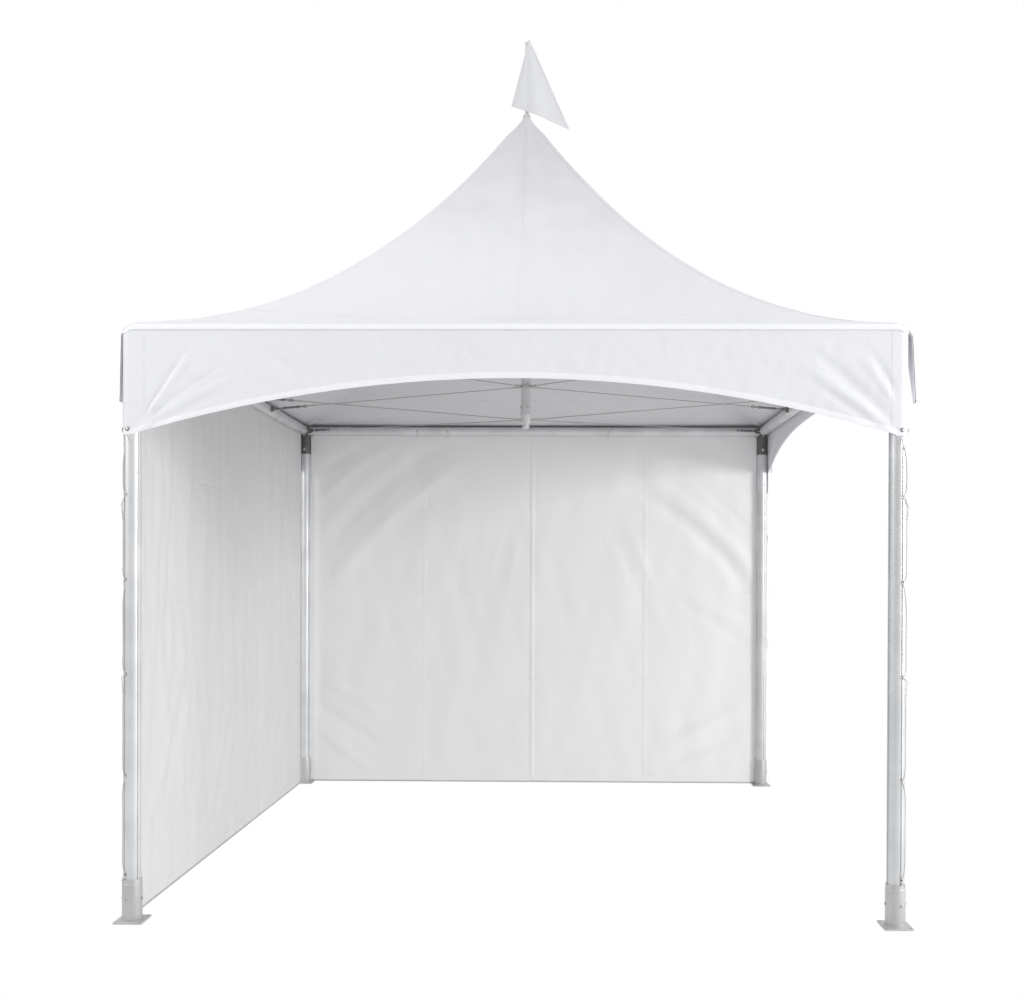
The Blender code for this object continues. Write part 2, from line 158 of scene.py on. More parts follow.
def ripples(u: Array, v: Array, lengths: tuple[float, float], lean: float, spread: float, seed: int) -> Array:
    """Return soft random waves of height about one.

    Args:
        u: Places across the cloth, in metres.
        v: Places up the cloth, in metres.
        lengths: Shortest and longest wave, in metres.
        lean: Angle of the waves' travel from the u direction, in radians.
        spread: How far single waves turn from lean, in radians.
        seed: Seed of the random choice.

    Returns:
        Heights at the places.
    """
    rng = np.random.default_rng(seed)
    total = np.zeros_like(u)
    count = 14
    for _ in range(count):
        length = rng.uniform(*lengths)
        angle = lean + rng.uniform(-spread, spread)
        phase = rng.uniform(0.0, 2.0 * math.pi)
        total += np.sin(2.0 * math.pi * (u * math.cos(angle) + v * math.sin(angle)) / length + phase)
    return total / math.sqrt(count)


@dataclass(frozen=True)
class Fold:
    """One soft fold along a line in the cloth, a ridge or, with a negative height, a groove."""

    start: tuple[float, float]
    end: tuple[float, float]
    width: float
    height: float
    bend: float = 0.0

    def lift(self, u: Array, v: Array) -> Array:
        """Return how far the fold moves the cloth outwards at each place."""
        line = np.subtract(self.end, self.start)
        length = float(np.hypot(*line))
        along_u, along_v = line / length
        du, dv = u - self.start[0], v - self.start[1]
        along = (du * along_u + dv * along_v) / length
        bow = self.bend * 4.0 * along * (1.0 - along)
        across = (dv * along_u - du * along_v - bow) / self.width
        fade = smooth_step(-0.12, 0.22, along) * (1.0 - smooth_step(0.72, 1.12, along))
        return self.height * fade * (1.0 - 0.9 * across * across) * np.exp(-across * across)


def sum_folds(folds: Sequence[Fold], u: Array, v: Array) -> Array:
    """Return the height of all folds together."""
    total = np.zeros_like(u)
    for fold in folds:
        total += fold.lift(u, v)
    return total


def rounded(profile: Sequence[tuple[float, float]], radius: float, steps: int = 3) -> list[tuple[float, float]]:
    """Return a profile with its inner corners rounded.

    Args:
        profile: Radius and height pairs.
        radius: Largest rounding; short edges get less.
        steps: Points in each rounded corner, less one.

    Returns:
        The profile with more points.
    """
    points = [np.array(p, dtype=float) for p in profile]
    result = [tuple(points[0])]
    for before, here, after in zip(points, points[1:], points[2:], strict=False):
        back, on = before - here, after - here
        cut = min(radius, 0.45 * float(np.hypot(*back)), 0.45 * float(np.hypot(*on)))
        first, last = here + unit(back) * cut, here + unit(on) * cut
        for k in range(steps + 1):
            t = k / steps
            result.append(tuple((1 - t) ** 2 * first + 2 * t * (1 - t) * here + t * t * last))
    result.append(tuple(points[-1]))
    return result


def through(points: Sequence[Sequence[float]], step: float) -> Array:
    """Return a smooth line through the points, with places about a step apart."""
    knots = np.array(points, dtype=float)
    padded = np.vstack((2 * knots[0] - knots[1], knots, 2 * knots[-1] - knots[-2]))
    result = [knots[0]]
    for k in range(len(knots) - 1):
        a, b, c, d = padded[k : k + 4]
        count = max(2, math.ceil(float(np.linalg.norm(c - b)) / step))
        for n in range(1, count + 1):
            t = n / count
            result.append(
                0.5 * (2 * b + (c - a) * t + (2 * a - 5 * b + 4 * c - d) * t * t + (3 * b - a - 3 * c + d) * t**3)
            )
    return np.array(result)


def grid_normals(grid: Array, wrap: bool = False) -> Array:
    """Return a grid's normals, columns crossed with rows."""
    rows = np.gradient(grid, axis=0)
    columns = np.roll(grid, -1, 1) - np.roll(grid, 1, 1) if wrap else np.gradient(grid, axis=1)
    return unit(np.cross(columns, rows))


def grid_area(grid: Array) -> float:
    """Return the area of a grid of points."""
    across = grid[1:, 1:] - grid[:-1, :-1]
    other = grid[1:, :-1] - grid[:-1, 1:]
    return float(0.5 * np.linalg.norm(np.cross(across, other), axis=-1).sum())


def frames_along(path: Array, closed: bool = False) -> tuple[Array, Array]:
    """Return two side directions at each point of a path that turn as little as they can."""
    if closed:
        tangents = unit(np.roll(path, -1, 0) - np.roll(path, 1, 0))
    else:
        tangents = unit(np.gradient(path, axis=0))
    start = UP if abs(tangents[0][2]) < 0.9 else np.array((1.0, 0.0, 0.0))
    side = unit(np.cross(tangents[0], start))
    sides = []
    for tangent in tangents:
        side = unit(side - tangent * float(side @ tangent))
        sides.append(side)
    sides = np.array(sides)
    return sides, np.cross(tangents, sides)


# ---- meshes


class Shape:
    """Gathers the faces of one piece before it becomes a mesh."""

    def __init__(self) -> None:
        """Start with nothing."""
        self._points: list[Array] = []
        self._faces: list[Array] = []
        self._uvs: list[Array] = []
        self._slots: list[Array] = []
        self._count = 0

    def add(self, points: Array, parts: Sequence[tuple[Array, Array]], slot: int = 0, second: int | None = None) -> None:
        """Add points and the faces between them.

        Args:
            points: Points of the new part.
            parts: Pairs of face corner indices and the corners' cloth coordinates.
            slot: Index of the finish.
            second: Index of the second pair's own finish, if it has one.
        """
        flat = np.asarray(points, dtype=float).reshape(-1, 3)
        for k, (faces, uvs) in enumerate(parts):
            self._faces.append(faces + self._count)
            self._uvs.append(uvs.reshape(-1, 2))
            self._slots.append(np.full(len(faces), second if k == 1 and second is not None else slot))
        self._points.append(flat)
        self._count += len(flat)

    @staticmethod
    def _quads(rows: int, columns: int, wrap: bool, uv: Array) -> tuple[Array, Array]:
        """Return the faces of a grid and their corners' cloth coordinates."""
        r = np.arange(rows - 1)[:, None]
        c = np.arange(columns if wrap else columns - 1)[None, :]
        n = (c + 1) % columns
        faces = np.stack((r * columns + c, r * columns + n, (r + 1) * columns + n, (r + 1) * columns + c), axis=-1)
        corners = np.stack((uv[:-1, :-1], uv[:-1, 1:], uv[1:, 1:], uv[1:, :-1]), axis=-2)
        return faces.reshape(-1, 4), corners.reshape(-1, 4, 2)

    def cloth(
        self, front: Array, back: Array, uv: Array, slot: int = 0, side_rims: bool = True, lining: int | None = None
    ) -> None:
        """Add a thin sheet with a front, a back and rims.

        Args:
            front: Rows and columns of points of the outer face.
            back: The same of the inner face.
            uv: Cloth coordinates of the grid, in metres.
            slot: Index of the finish.
            side_rims: Whether the first and last column get rims.
            lining: Index of the inner face's own finish, if it has one.
        """
        rows, columns = front.shape[:2]
        count = rows * columns
        faces, corners = self._quads(rows, columns, False, uv)
        parts = [(faces, corners), (faces[:, ::-1] + count, corners[:, ::-1])]
        index = np.arange(count).reshape(rows, columns)
        edges = [(index[0], uv[0]), (index[-1][::-1], uv[-1][::-1])]
        if side_rims:
            edges += [(index[::-1, 0], uv[::-1, 0]), (index[:, -1], uv[:, -1])]
        for line, place in edges:
            rim = np.stack((line[1:], line[:-1], line[:-1] + count, line[1:] + count), axis=-1)
            parts.append((rim, np.stack((place[1:], place[:-1], place[:-1], place[1:]), axis=-2)))
        self.add(np.concatenate((front.reshape(-1, 3), back.reshape(-1, 3))), parts, slot, second=lining)

    def rings(self, rings: Array, slot: int = 0, caps: bool = True, closed: bool = False) -> None:
        """Add a skin over rings of points, each ring closed.

        Args:
            rings: Rings by points by three.
            slot: Index of the finish.
            caps: Whether both ends are closed with a flat fan.
            closed: Whether the last ring joins the first, which leaves out the caps.
        """
        if closed:
            rings = np.concatenate((rings, rings[:1]))
        rows, columns = rings.shape[:2]
        girth = np.linalg.norm(np.diff(rings[rows // 2], axis=0, append=rings[rows // 2][:1]), axis=1)
        along = np.linalg.norm(np.diff(rings[:, 0], axis=0), axis=1)
        uv = np.zeros((rows, columns + 1, 2))
        uv[..., 0] = np.concatenate(([0.0], np.cumsum(girth)))[None, :]
        uv[..., 1] = np.concatenate(([0.0], np.cumsum(along)))[:, None]
        faces, corners = self._quads(rows, columns, True, uv)
        points = rings.reshape(-1, 3)
        if closed:
            last = (rows - 1) * columns
            faces = np.where(faces >= last, faces - last, faces)
            self.add(points[:last], [(faces, corners)], slot)
            return
        parts = [(faces, corners)]
        if caps:
            total = rows * columns
            k = np.arange(columns)
            n = (k + 1) % columns
            flat = np.zeros((columns, 3, 2))
            low = np.stack((n, k, np.full(columns, total)), axis=-1)
            top = (rows - 1) * columns
            high = np.stack((top + k, top + n, np.full(columns, total + 1)), axis=-1)
            parts += [(low, flat), (high, flat)]
            points = np.vstack((points, rings[0].mean(0), rings[-1].mean(0)))
        self.add(points, parts, slot)

    def tube(
        self,
        path: Array,
        radius: float | Array,
        sides: int = 12,
        slot: int = 0,
        closed: bool = False,
        flatten: float = 1.0,
    ) -> None:
        """Add a round bar along a path.

        Args:
            path: Points of the middle line.
            radius: One radius, or one at each point.
            sides: Faces round the bar.
            slot: Index of the finish.
            closed: Whether the path is a loop.
            flatten: Share of the radius in the second side direction.
        """
        path = np.asarray(path, dtype=float)
        side, up = frames_along(path, closed)
        radii = np.broadcast_to(np.asarray(radius, dtype=float), (len(path),))[:, None, None]
        angle = 2.0 * math.pi * np.arange(sides) / sides
        spokes = side[:, None] * np.cos(angle)[None, :, None] + flatten * up[:, None] * np.sin(angle)[None, :, None]
        self.rings(path[:, None] + radii * spokes, slot, closed=closed)

    def lathe(
        self,
        profile: Sequence[tuple[float, float]],
        origin: Sequence[float],
        axis: Sequence[float] = (0, 0, 1),
        sides: int = 32,
        slot: int = 0,
        turn: float = 0.0,
        caps: bool = True,
    ) -> None:
        """Turn a profile of radius and height pairs about an axis.

        Args:
            profile: Radius and height pairs from the axis's start.
            origin: Where height is zero.
            axis: Direction of the axis.
            sides: Faces round it.
            slot: Index of the finish.
            turn: Angle of the first point.
            caps: Whether both ends are closed.
        """
        line = unit(np.array(axis, dtype=float))
        helper = UP if abs(line[2]) < 0.9 else np.array((1.0, 0.0, 0.0))
        side = unit(np.cross(line, helper))
        up = np.cross(line, side)
        angle = turn + 2.0 * math.pi * np.arange(sides) / sides
        spokes = side[None] * np.cos(angle)[:, None] + up[None] * np.sin(angle)[:, None]
        rings = [np.array(origin) + line * height + spokes * radius for radius, height in profile]
        self.rings(np.array(rings), slot, caps=caps)

    def prism(self, outline: Array, low: float, high: float, slot: int = 0) -> None:
        """Add an upright bar of any section between two heights."""
        count = len(outline)
        rings = np.zeros((2, count, 3))
        rings[..., :2] = outline[None]
        rings[0, :, 2], rings[1, :, 2] = low, high
        self.rings(rings, slot, caps=False)
        ends = np.array(tessellate_polygon([[Vector((x, y, 0.0)) for x, y in outline]]))
        flat = np.zeros((len(ends), 3, 2))
        self._faces += [ends + self._count - 2 * count, ends[:, ::-1] + self._count - count]
        self._uvs += [flat.reshape(-1, 2), flat.reshape(-1, 2)]
        self._slots += [np.full(len(ends), slot)] * 2

    def block(self, low: Sequence[float], high: Sequence[float], bevel: float = 0.0015, slot: int = 0) -> None:
        """Add a box with rounded edges between two corners."""
        work = bmesh.new()
        bmesh.ops.create_cube(work, size=1.0)
        size, middle = np.subtract(high, low), np.add(high, low) / 2.0
        for vert in work.verts:
            vert.co = Vector(np.array(vert.co) * size + middle)
        bmesh.ops.bevel(work, geom=work.edges[:], offset=bevel, segments=2, profile=0.5, affect="EDGES")
        bmesh.ops.triangulate(work, faces=work.faces[:])
        work.verts.index_update()
        points = np.array([v.co[:] for v in work.verts])
        faces = np.array([[v.index for v in f.verts] for f in work.faces])
        work.free()
        self.add(points, [(faces, points[faces][..., :2])], slot)

    def turned(self, direction: Sequence[float], origin: Sequence[float]) -> "Shape":
        """Point what was made along +X from zero to a level direction at an origin."""
        ahead = unit(np.array(direction, dtype=float))
        left = unit(np.cross(UP, ahead))
        basis = np.stack((ahead, left, np.cross(ahead, left)))
        self._points = [points @ basis + np.array(origin) for points in self._points]
        return self

    def build(self, name: str, finishes: Sequence["Finish"], sharp: float = HELD_SHARP, weld: float = 0.0) -> bpy.types.Object:
        """Make the object.

        Args:
            name: The piece's name.
            finishes: One finish for each slot.
            sharp: Angle above which edges stay sharp.
            weld: Distance within which points are joined.

        Returns:
            The object, linked to the scene.
        """
        mesh = bpy.data.meshes.new(name)
        points = np.concatenate(self._points)
        mesh.vertices.add(len(points))
        mesh.vertices.foreach_set("co", points.ravel())
        sizes = np.concatenate([np.full(len(f), f.shape[1]) for f in self._faces])
        corners = np.concatenate([f.ravel() for f in self._faces])
        mesh.loops.add(len(corners))
        mesh.loops.foreach_set("vertex_index", corners)
        mesh.polygons.add(len(sizes))
        mesh.polygons.foreach_set("loop_start", np.concatenate(([0], np.cumsum(sizes)[:-1])))
        mesh.polygons.foreach_set("material_index", np.concatenate(self._slots))
        mesh.update(calc_edges=True)
        layer = mesh.uv_layers.new(name="Cloth")
        layer.data.foreach_set("uv", np.concatenate(self._uvs).ravel())
        work = bmesh.new()
        work.from_mesh(mesh)
        if weld:
            bmesh.ops.remove_doubles(work, verts=work.verts[:], dist=weld)
        bmesh.ops.recalc_face_normals(work, faces=work.faces[:])
        work.to_mesh(mesh)
        work.free()
        mesh.validate()
        for finish in finishes:
            mesh.materials.append(finish.material())
        mesh.shade_smooth()
        mesh.set_sharp_from_angle(angle=sharp)
        item = bpy.data.objects.new(name, mesh)
        bpy.context.scene.collection.objects.link(item)
        return item


def settle(item: bpy.types.Object, slot: Slot, *nodes: str) -> bpy.types.Object:
    """Put a finished piece on the frame's root, in place of the nodes it stands for."""
    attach(item, "root")
    if nodes:
        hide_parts(*nodes)
    item.data.calc_loop_triangles()
    LOG.info("%s: %d triangles", item.name, len(item.data.loop_triangles))
    return item


def flatten(item: bpy.types.Object) -> bpy.types.Object:
    """Make an object's modifiers part of its mesh."""
    graph = bpy.context.evaluated_depsgraph_get()
    made = bpy.data.meshes.new_from_object(item.evaluated_get(graph), preserve_all_data_layers=True, depsgraph=graph)
    item.modifiers.clear()
    item.data = made
    made.name = item.name
    return item


def carve(item: bpy.types.Object, cutters: Sequence[bpy.types.Object]) -> bpy.types.Object:
    """Cut helper bodies out of a piece and remove them."""
    for cutter in cutters:
        change = item.modifiers.new(cutter.name, "BOOLEAN")
        change.operation = "DIFFERENCE"
        change.solver = "EXACT"
        change.material_mode = "TRANSFER"
        change.object = cutter
    flatten(item)
    for cutter in cutters:
        bpy.data.objects.remove(cutter, do_unlink=True)
    item.data.set_sharp_from_angle(angle=HELD_SHARP)
    return item


# ---- node trees


class Wires:
    """Adds and joins the nodes of one tree."""

    def __init__(self, tree: bpy.types.NodeTree) -> None:
        """Keep the tree."""
        self.tree = tree

    def node(self, kind: str, inputs: dict[Any, Any] | None = None, **settings: Any) -> bpy.types.Node:
        """Add a node, set its properties, then link or set its inputs.

        Args:
            kind: The node's type name.
            inputs: Values or sockets by input name or number.
            **settings: Properties of the node.

        Returns:
            The node.
        """
        made = self.tree.nodes.new(kind)
        for key, value in settings.items():
            setattr(made, key, value)
        for key, value in (inputs or {}).items():
            if isinstance(value, bpy.types.NodeSocket):
                self.tree.links.new(value, made.inputs[key])
            else:
                made.inputs[key].default_value = value
        return made

    def math(self, operation: str, *values: Any) -> bpy.types.NodeSocket:
        """Add a math node and return its result."""
        return self.node("ShaderNodeMath", dict(enumerate(values)), operation=operation).outputs[0]

    def vector(self, operation: str, *values: Any) -> bpy.types.NodeSocket:
        """Add a vector math node and return its first result."""
        return self.node("ShaderNodeVectorMath", dict(enumerate(values)), operation=operation).outputs[0]

    def ramp(self, value: Any, low: float, high: float, from_low: float = 0.0, from_high: float = 1.0) -> bpy.types.NodeSocket:
        """Add a smooth map from one range to another and return its result."""
        made = self.node(
            "ShaderNodeMapRange",
            {"Value": value, "From Min": from_low, "From Max": from_high, "To Min": low, "To Max": high},
            interpolation_type="SMOOTHSTEP",
        )
        return made.outputs["Result"]

    def blend(self, share: Any, first: Any, second: Any) -> bpy.types.NodeSocket:
        """Add a colour mix and return its result."""
        made = self.node("ShaderNodeMix", {"Factor": share}, data_type="RGBA")
        for name, value in (("A", first), ("B", second)):
            socket = next(s for s in made.inputs if s.name == name and s.type == "RGBA")
            if isinstance(value, bpy.types.NodeSocket):
                self.tree.links.new(value, socket)
            else:
                socket.default_value = value
        return next(s for s in made.outputs if s.type == "RGBA")


def open_tree(name: str, kind: str, ins: dict[str, tuple[str, Any]], outs: dict[str, str]) -> tuple[Wires, bpy.types.Node, bpy.types.Node]:
    """Start a node group with named sockets.

    Args:
        name: The group's name.
        kind: The tree's type name.
        ins: Socket kind and default by input name.
        outs: Socket kind by output name.

    Returns:
        The wires, the input node and the output node.
    """
    tree = bpy.data.node_groups.new(name, kind)
    for label, (socket, value) in ins.items():
        made = tree.interface.new_socket(label, in_out="INPUT", socket_type=socket)
        if value is not None:
            made.default_value = value
    for label, socket in outs.items():
        tree.interface.new_socket(label, in_out="OUTPUT", socket_type=socket)
    wires = Wires(tree)
    return wires, wires.node("NodeGroupInput"), wires.node("NodeGroupOutput")


FLOAT, VECTOR, GEOMETRY = "NodeSocketFloat", "NodeSocketVector", "NodeSocketGeometry"


def weave_group() -> bpy.types.NodeTree:
    """Make the group that gives a coated cloth's height over its two thread directions."""
    wires, ins, outs = open_tree(
        "Coated weave",
        "ShaderNodeTree",
        {"Cloth": (VECTOR, None), "Threads": (FLOAT, 700.0)},
        {"Height": FLOAT},
    )
    split = wires.node("ShaderNodeSeparateXYZ", {0: ins.outputs["Cloth"]})
    turn = wires.math("MULTIPLY", ins.outputs["Threads"], 2.0 * math.pi)
    warp = wires.math("SINE", wires.math("MULTIPLY", split.outputs["X"], turn))
    weft = wires.math("SINE", wires.math("MULTIPLY", split.outputs["Y"], turn))
    wires.tree.links.new(wires.math("MULTIPLY", warp, weft), outs.inputs["Height"])
    return wires.tree


def mottle_group() -> bpy.types.NodeTree:
    """Make the group that gives a broad and a fine soft unevenness."""
    wires, ins, outs = open_tree(
        "Soft mottle",
        "ShaderNodeTree",
        {"Place": (VECTOR, None), "Broad": (FLOAT, 2.5), "Fine": (FLOAT, 40.0)},
        {"Broad": FLOAT, "Fine": FLOAT},
    )
    for label, detail in (("Broad", 3.0), ("Fine", 2.0)):
        noise = wires.node(
            "ShaderNodeTexNoise",
            {"Vector": ins.outputs["Place"], "Scale": ins.outputs[label], "Detail": detail, "Roughness": 0.5},
        )
        wires.tree.links.new(wires.ramp(noise.outputs["Fac"], 0.0, 1.0, 0.3, 0.7), outs.inputs[label])
    return wires.tree


def streak_group() -> bpy.types.NodeTree:
    """Make the group that gives fine lines drawn along a stretched direction."""
    wires, ins, outs = open_tree(
        "Drawn streaks",
        "ShaderNodeTree",
        {"Place": (VECTOR, None), "Stretch": (VECTOR, (900.0, 900.0, 4.0))},
        {"Streak": FLOAT},
    )
    place = wires.vector("MULTIPLY", ins.outputs["Place"], ins.outputs["Stretch"])
    noise = wires.node("ShaderNodeTexNoise", {"Vector": place, "Scale": 1.0, "Detail": 2.0})
    wires.tree.links.new(noise.outputs["Fac"], outs.inputs["Streak"])
    return wires.tree


def dust_group() -> bpy.types.NodeTree:
    """Make the group that gives a mask which fades over a height, with an uneven edge, for dirt and for painted shade.
    """
    wires, ins, outs = open_tree(
        "Height dust",
        "ShaderNodeTree",
        {"Place": (VECTOR, None), "None At": (FLOAT, 0.3), "Full At": (FLOAT, 0.0)},
        {"Mask": FLOAT},
    )
    split = wires.node("ShaderNodeSeparateXYZ", {0: ins.outputs["Place"]})
    noise = wires.node("ShaderNodeTexNoise", {"Vector": ins.outputs["Place"], "Scale": 6.0, "Detail": 3.0})
    span = wires.math("SUBTRACT", ins.outputs["Full At"], ins.outputs["None At"])
    share = wires.math("DIVIDE", wires.math("SUBTRACT", split.outputs["Z"], ins.outputs["None At"]), span)
    uneven = wires.math("MULTIPLY", wires.math("SUBTRACT", noise.outputs["Fac"], 0.5), 0.5)
    wires.tree.links.new(wires.ramp(wires.math("ADD", share, uneven), 0.0, 1.0), outs.inputs["Mask"])
    return wires.tree


GROUPS: dict[str, Callable[[], bpy.types.NodeTree]] = {
    "Coated weave": weave_group,
    "Soft mottle": mottle_group,
    "Drawn streaks": streak_group,
    "Height dust": dust_group,
}


def use_group(wires: Wires, name: str, inputs: dict[str, Any]) -> bpy.types.Node:
    """Add a shared group, made on first use, to a tree."""
    tree = bpy.data.node_groups.get(name) or GROUPS[name]()
    made = wires.node("ShaderNodeGroup", node_tree=tree)
    for key, value in inputs.items():
        if isinstance(value, bpy.types.NodeSocket):
            wires.tree.links.new(value, made.inputs[key])
        else:
            made.inputs[key].default_value = value
    return made


# ---- finishes


@dataclass(frozen=True)
class Finish:
    """A surface finish, made into a material on first use."""

    name: str
    colour: tuple[float, float, float]
    roughness: float

    def material(self) -> bpy.types.Material:
        """Return the material of this finish."""
        found = bpy.data.materials.get(self.name)
        if found:
            return found
        made = bpy.data.materials.new(self.name)
        made.use_nodes = True
        wires = Wires(made.node_tree)
        shader = made.node_tree.nodes["Principled BSDF"]
        shader.inputs["Roughness"].default_value = self.roughness
        shader.inputs["Base Color"].default_value = (*self.colour, 1.0)
        self.wire(wires, shader)
        return made

    def wire(self, wires: Wires, shader: bpy.types.Node) -> None:
        """Add what this kind of finish shows. The plain one shows nothing more."""

    def shade(self, share: float) -> tuple[float, float, float, float]:
        """Return the colour at a share of its brightness."""
        return (*(share * c for c in self.colour), 1.0)


@dataclass(frozen=True)
class Vinyl(Finish):
    """White coated fabric: a fine weave under the coat, soft handling marks and a darkening by height, which is grime
    near the ground by default and painted shade where a finish moves it, towards the canopy's peak and onto a wall's
    foot.
    """

    grime_none: float = 0.25
    grime_full: float = -0.10
    grime_shade: float = 0.80
    weave: float = 0.00004
    crumple: float = 0.0012
    threads: float = 600.0

    def wire(self, wires: Wires, shader: bpy.types.Node) -> None:
        """Join weave, mottle and the darkening by height, which is grime by default and painted shade in the canopy and
        wall finishes, to the shader.
        """
        place = wires.node("ShaderNodeTexCoord")
        mottle = use_group(wires, "Soft mottle", {"Place": place.outputs["Object"], "Broad": 3.0, "Fine": 26.0})
        shade_and_grime = use_group(
            wires,
            "Height dust",
            {"Place": place.outputs["Object"], "None At": self.grime_none, "Full At": self.grime_full},
        )
        weave = use_group(wires, "Coated weave", {"Cloth": place.outputs["UV"], "Threads": self.threads})
        soft = wires.blend(wires.math("MULTIPLY", mottle.outputs["Broad"], 0.5), self.shade(1.0), self.shade(0.975))
        colour = wires.blend(shade_and_grime.outputs["Mask"], soft, self.shade(self.grime_shade))
        wires.tree.links.new(colour, shader.inputs["Base Color"])
        rough = wires.ramp(mottle.outputs["Fine"], self.roughness - 0.05, self.roughness + 0.06)
        wires.tree.links.new(rough, shader.inputs["Roughness"])
        shader.inputs["Specular IOR Level"].default_value = 0.4
        crumple = wires.node(
            "ShaderNodeBump",
            {"Height": mottle.outputs["Fine"], "Strength": 0.35, "Distance": self.crumple},
        )
        threads = wires.node(
            "ShaderNodeBump",
            {"Height": weave.outputs["Height"], "Strength": 0.5, "Distance": self.weave, "Normal": crumple.outputs[0]},
        )
        wires.tree.links.new(threads.outputs[0], shader.inputs["Normal"])


@dataclass(frozen=True)
class Metal(Finish):
    """Bare metal with lines along its length and dull patches."""

    stretch: tuple[float, float, float] = (900.0, 900.0, 4.0)
    metallic: float = 0.85
    dirt_below: float = 0.0
    streak_depth: float = 0.00005

    def wire(self, wires: Wires, shader: bpy.types.Node) -> None:
        """Join streaks, mottle and ground dirt to the shader."""
        shader.inputs["Metallic"].default_value = self.metallic
        place = wires.node("ShaderNodeTexCoord").outputs["Object"]
        streak = use_group(wires, "Drawn streaks", {"Place": place, "Stretch": self.stretch}).outputs["Streak"]
        mottle = use_group(wires, "Soft mottle", {"Place": place, "Broad": 7.0, "Fine": 90.0})
        colour = wires.blend(mottle.outputs["Broad"], self.shade(1.0), self.shade(0.88))
        if self.dirt_below:
            dirt = use_group(
                wires, "Height dust", {"Place": place, "None At": self.dirt_below, "Full At": -0.5 * self.dirt_below}
            )
            colour = wires.blend(dirt.outputs["Mask"], colour, self.shade(0.62))
        wires.tree.links.new(colour, shader.inputs["Base Color"])
        dull = wires.math("MULTIPLY", mottle.outputs["Fine"], 0.10)
        lined = wires.math("MULTIPLY", streak, 0.14)
        rough = wires.math("ADD", wires.math("ADD", dull, lined), self.roughness - 0.10)
        wires.tree.links.new(rough, shader.inputs["Roughness"])
        bump = wires.node("ShaderNodeBump", {"Height": streak, "Strength": 0.4, "Distance": self.streak_depth})
        wires.tree.links.new(bump.outputs[0], shader.inputs["Normal"])


@dataclass(frozen=True)
class Paint(Finish):
    """Dark paint on steel, scuffed to a lighter grey in spots."""

    scuff: tuple[float, float, float] = (0.34, 0.34, 0.33)

    def wire(self, wires: Wires, shader: bpy.types.Node) -> None:
        """Join scuffs and orange peel to the shader."""
        place = wires.node("ShaderNodeTexCoord").outputs["Object"]
        mottle = use_group(wires, "Soft mottle", {"Place": place, "Broad": 55.0, "Fine": 420.0})
        spots = wires.ramp(mottle.outputs["Broad"], 0.0, 0.35, 0.75, 1.0)
        colour = wires.blend(spots, self.shade(1.0), (*self.scuff, 1.0))
        wires.tree.links.new(colour, shader.inputs["Base Color"])
        wires.tree.links.new(
            wires.ramp(mottle.outputs["Fine"], self.roughness - 0.08, self.roughness + 0.1), shader.inputs["Roughness"]
        )
        bump = wires.node("ShaderNodeBump", {"Height": mottle.outputs["Fine"], "Strength": 0.25, "Distance": 0.0002})
        wires.tree.links.new(bump.outputs[0], shader.inputs["Normal"])


@dataclass(frozen=True)
class Braid(Finish):
    """Braided cord, with painted shade between its strands."""

    def wire(self, wires: Wires, shader: bpy.types.Node) -> None:
        """Join the braid's shade and height to the shader."""
        place = wires.node("ShaderNodeTexCoord").outputs["UV"]
        braid = use_group(wires, "Coated weave", {"Cloth": place, "Threads": 260.0}).outputs["Height"]
        # Greyer where the braid's height is low: painted shade between the strands.
        wires.tree.links.new(
            wires.blend(wires.ramp(braid, 0.0, 1.0, -1.0, 1.0), self.shade(0.72), self.shade(1.0)),
            shader.inputs["Base Color"],
        )
        bump = wires.node("ShaderNodeBump", {"Height": braid, "Strength": 0.6, "Distance": 0.0004})
        wires.tree.links.new(bump.outputs[0], shader.inputs["Normal"])
        shader.inputs["Sheen Weight"].default_value = 0.2


# The canopy's outer and inner faces darken towards the peak: painted shade on the steeper slope there.
CANOPY_VINYL = Vinyl("canopy vinyl", (0.730, 0.735, 0.768), 0.46, grime_none=2.75, grime_full=3.75, grime_shade=0.80)
# The inner face is a darker copy of the outer vinyl: painted shade on the ceiling.
SHADED_LINING_VINYL = Vinyl("canopy lining", (0.655, 0.655, 0.67), 0.52, grime_none=2.75, grime_full=3.75, grime_shade=0.90)
VALANCE_VINYL = Vinyl("valance vinyl", (0.775, 0.78, 0.81), 0.44)
# Both walls darken in a narrow strip at their foot: a painted contact shadow where they meet the floor.
WALL_VINYL = Vinyl("wall vinyl", (0.87, 0.87, 0.875), 0.46, grime_none=0.024, grime_full=0.010, grime_shade=0.42)
# The left wall is a darker copy of the wall vinyl: painted shade.
SHADED_SIDE_WALL_VINYL = Vinyl("side wall vinyl", (0.70, 0.70, 0.705), 0.46, grime_none=0.024, grime_full=0.010, grime_shade=0.42)
PENNANT_CLOTH = Vinyl("pennant cloth", (0.665, 0.67, 0.69), 0.62, threads=420.0, weave=0.00010, crumple=0.0006)
# The hem vinyl is brighter than the sheets; on the roof's shoulder band it is a painted highlight where the shoulder
# catches light.
HEM_AND_HIGHLIGHT_VINYL = Vinyl("hem vinyl", (0.86, 0.865, 0.895), 0.42, crumple=0.0005)
THREAD = Finish("white thread", (0.80, 0.80, 0.82), 0.6)
LEG_METAL = Metal("leg aluminium", (0.72, 0.73, 0.74), 0.45, dirt_below=0.22, metallic=0.6)
RAIL_METAL_X = Metal("rail aluminium along x", (0.72, 0.73, 0.74), 0.42, stretch=(4.0, 900.0, 900.0), metallic=0.45)
RAIL_METAL_Y = Metal("rail aluminium along y", (0.72, 0.73, 0.74), 0.42, stretch=(900.0, 4.0, 900.0), metallic=0.45)
MAST_METAL = Metal("mast aluminium", (0.74, 0.74, 0.75), 0.42, metallic=0.35)
FOOT_METAL = Metal("galvanised steel", (0.60, 0.60, 0.60), 0.5, stretch=(60.0, 60.0, 60.0), metallic=0.7)
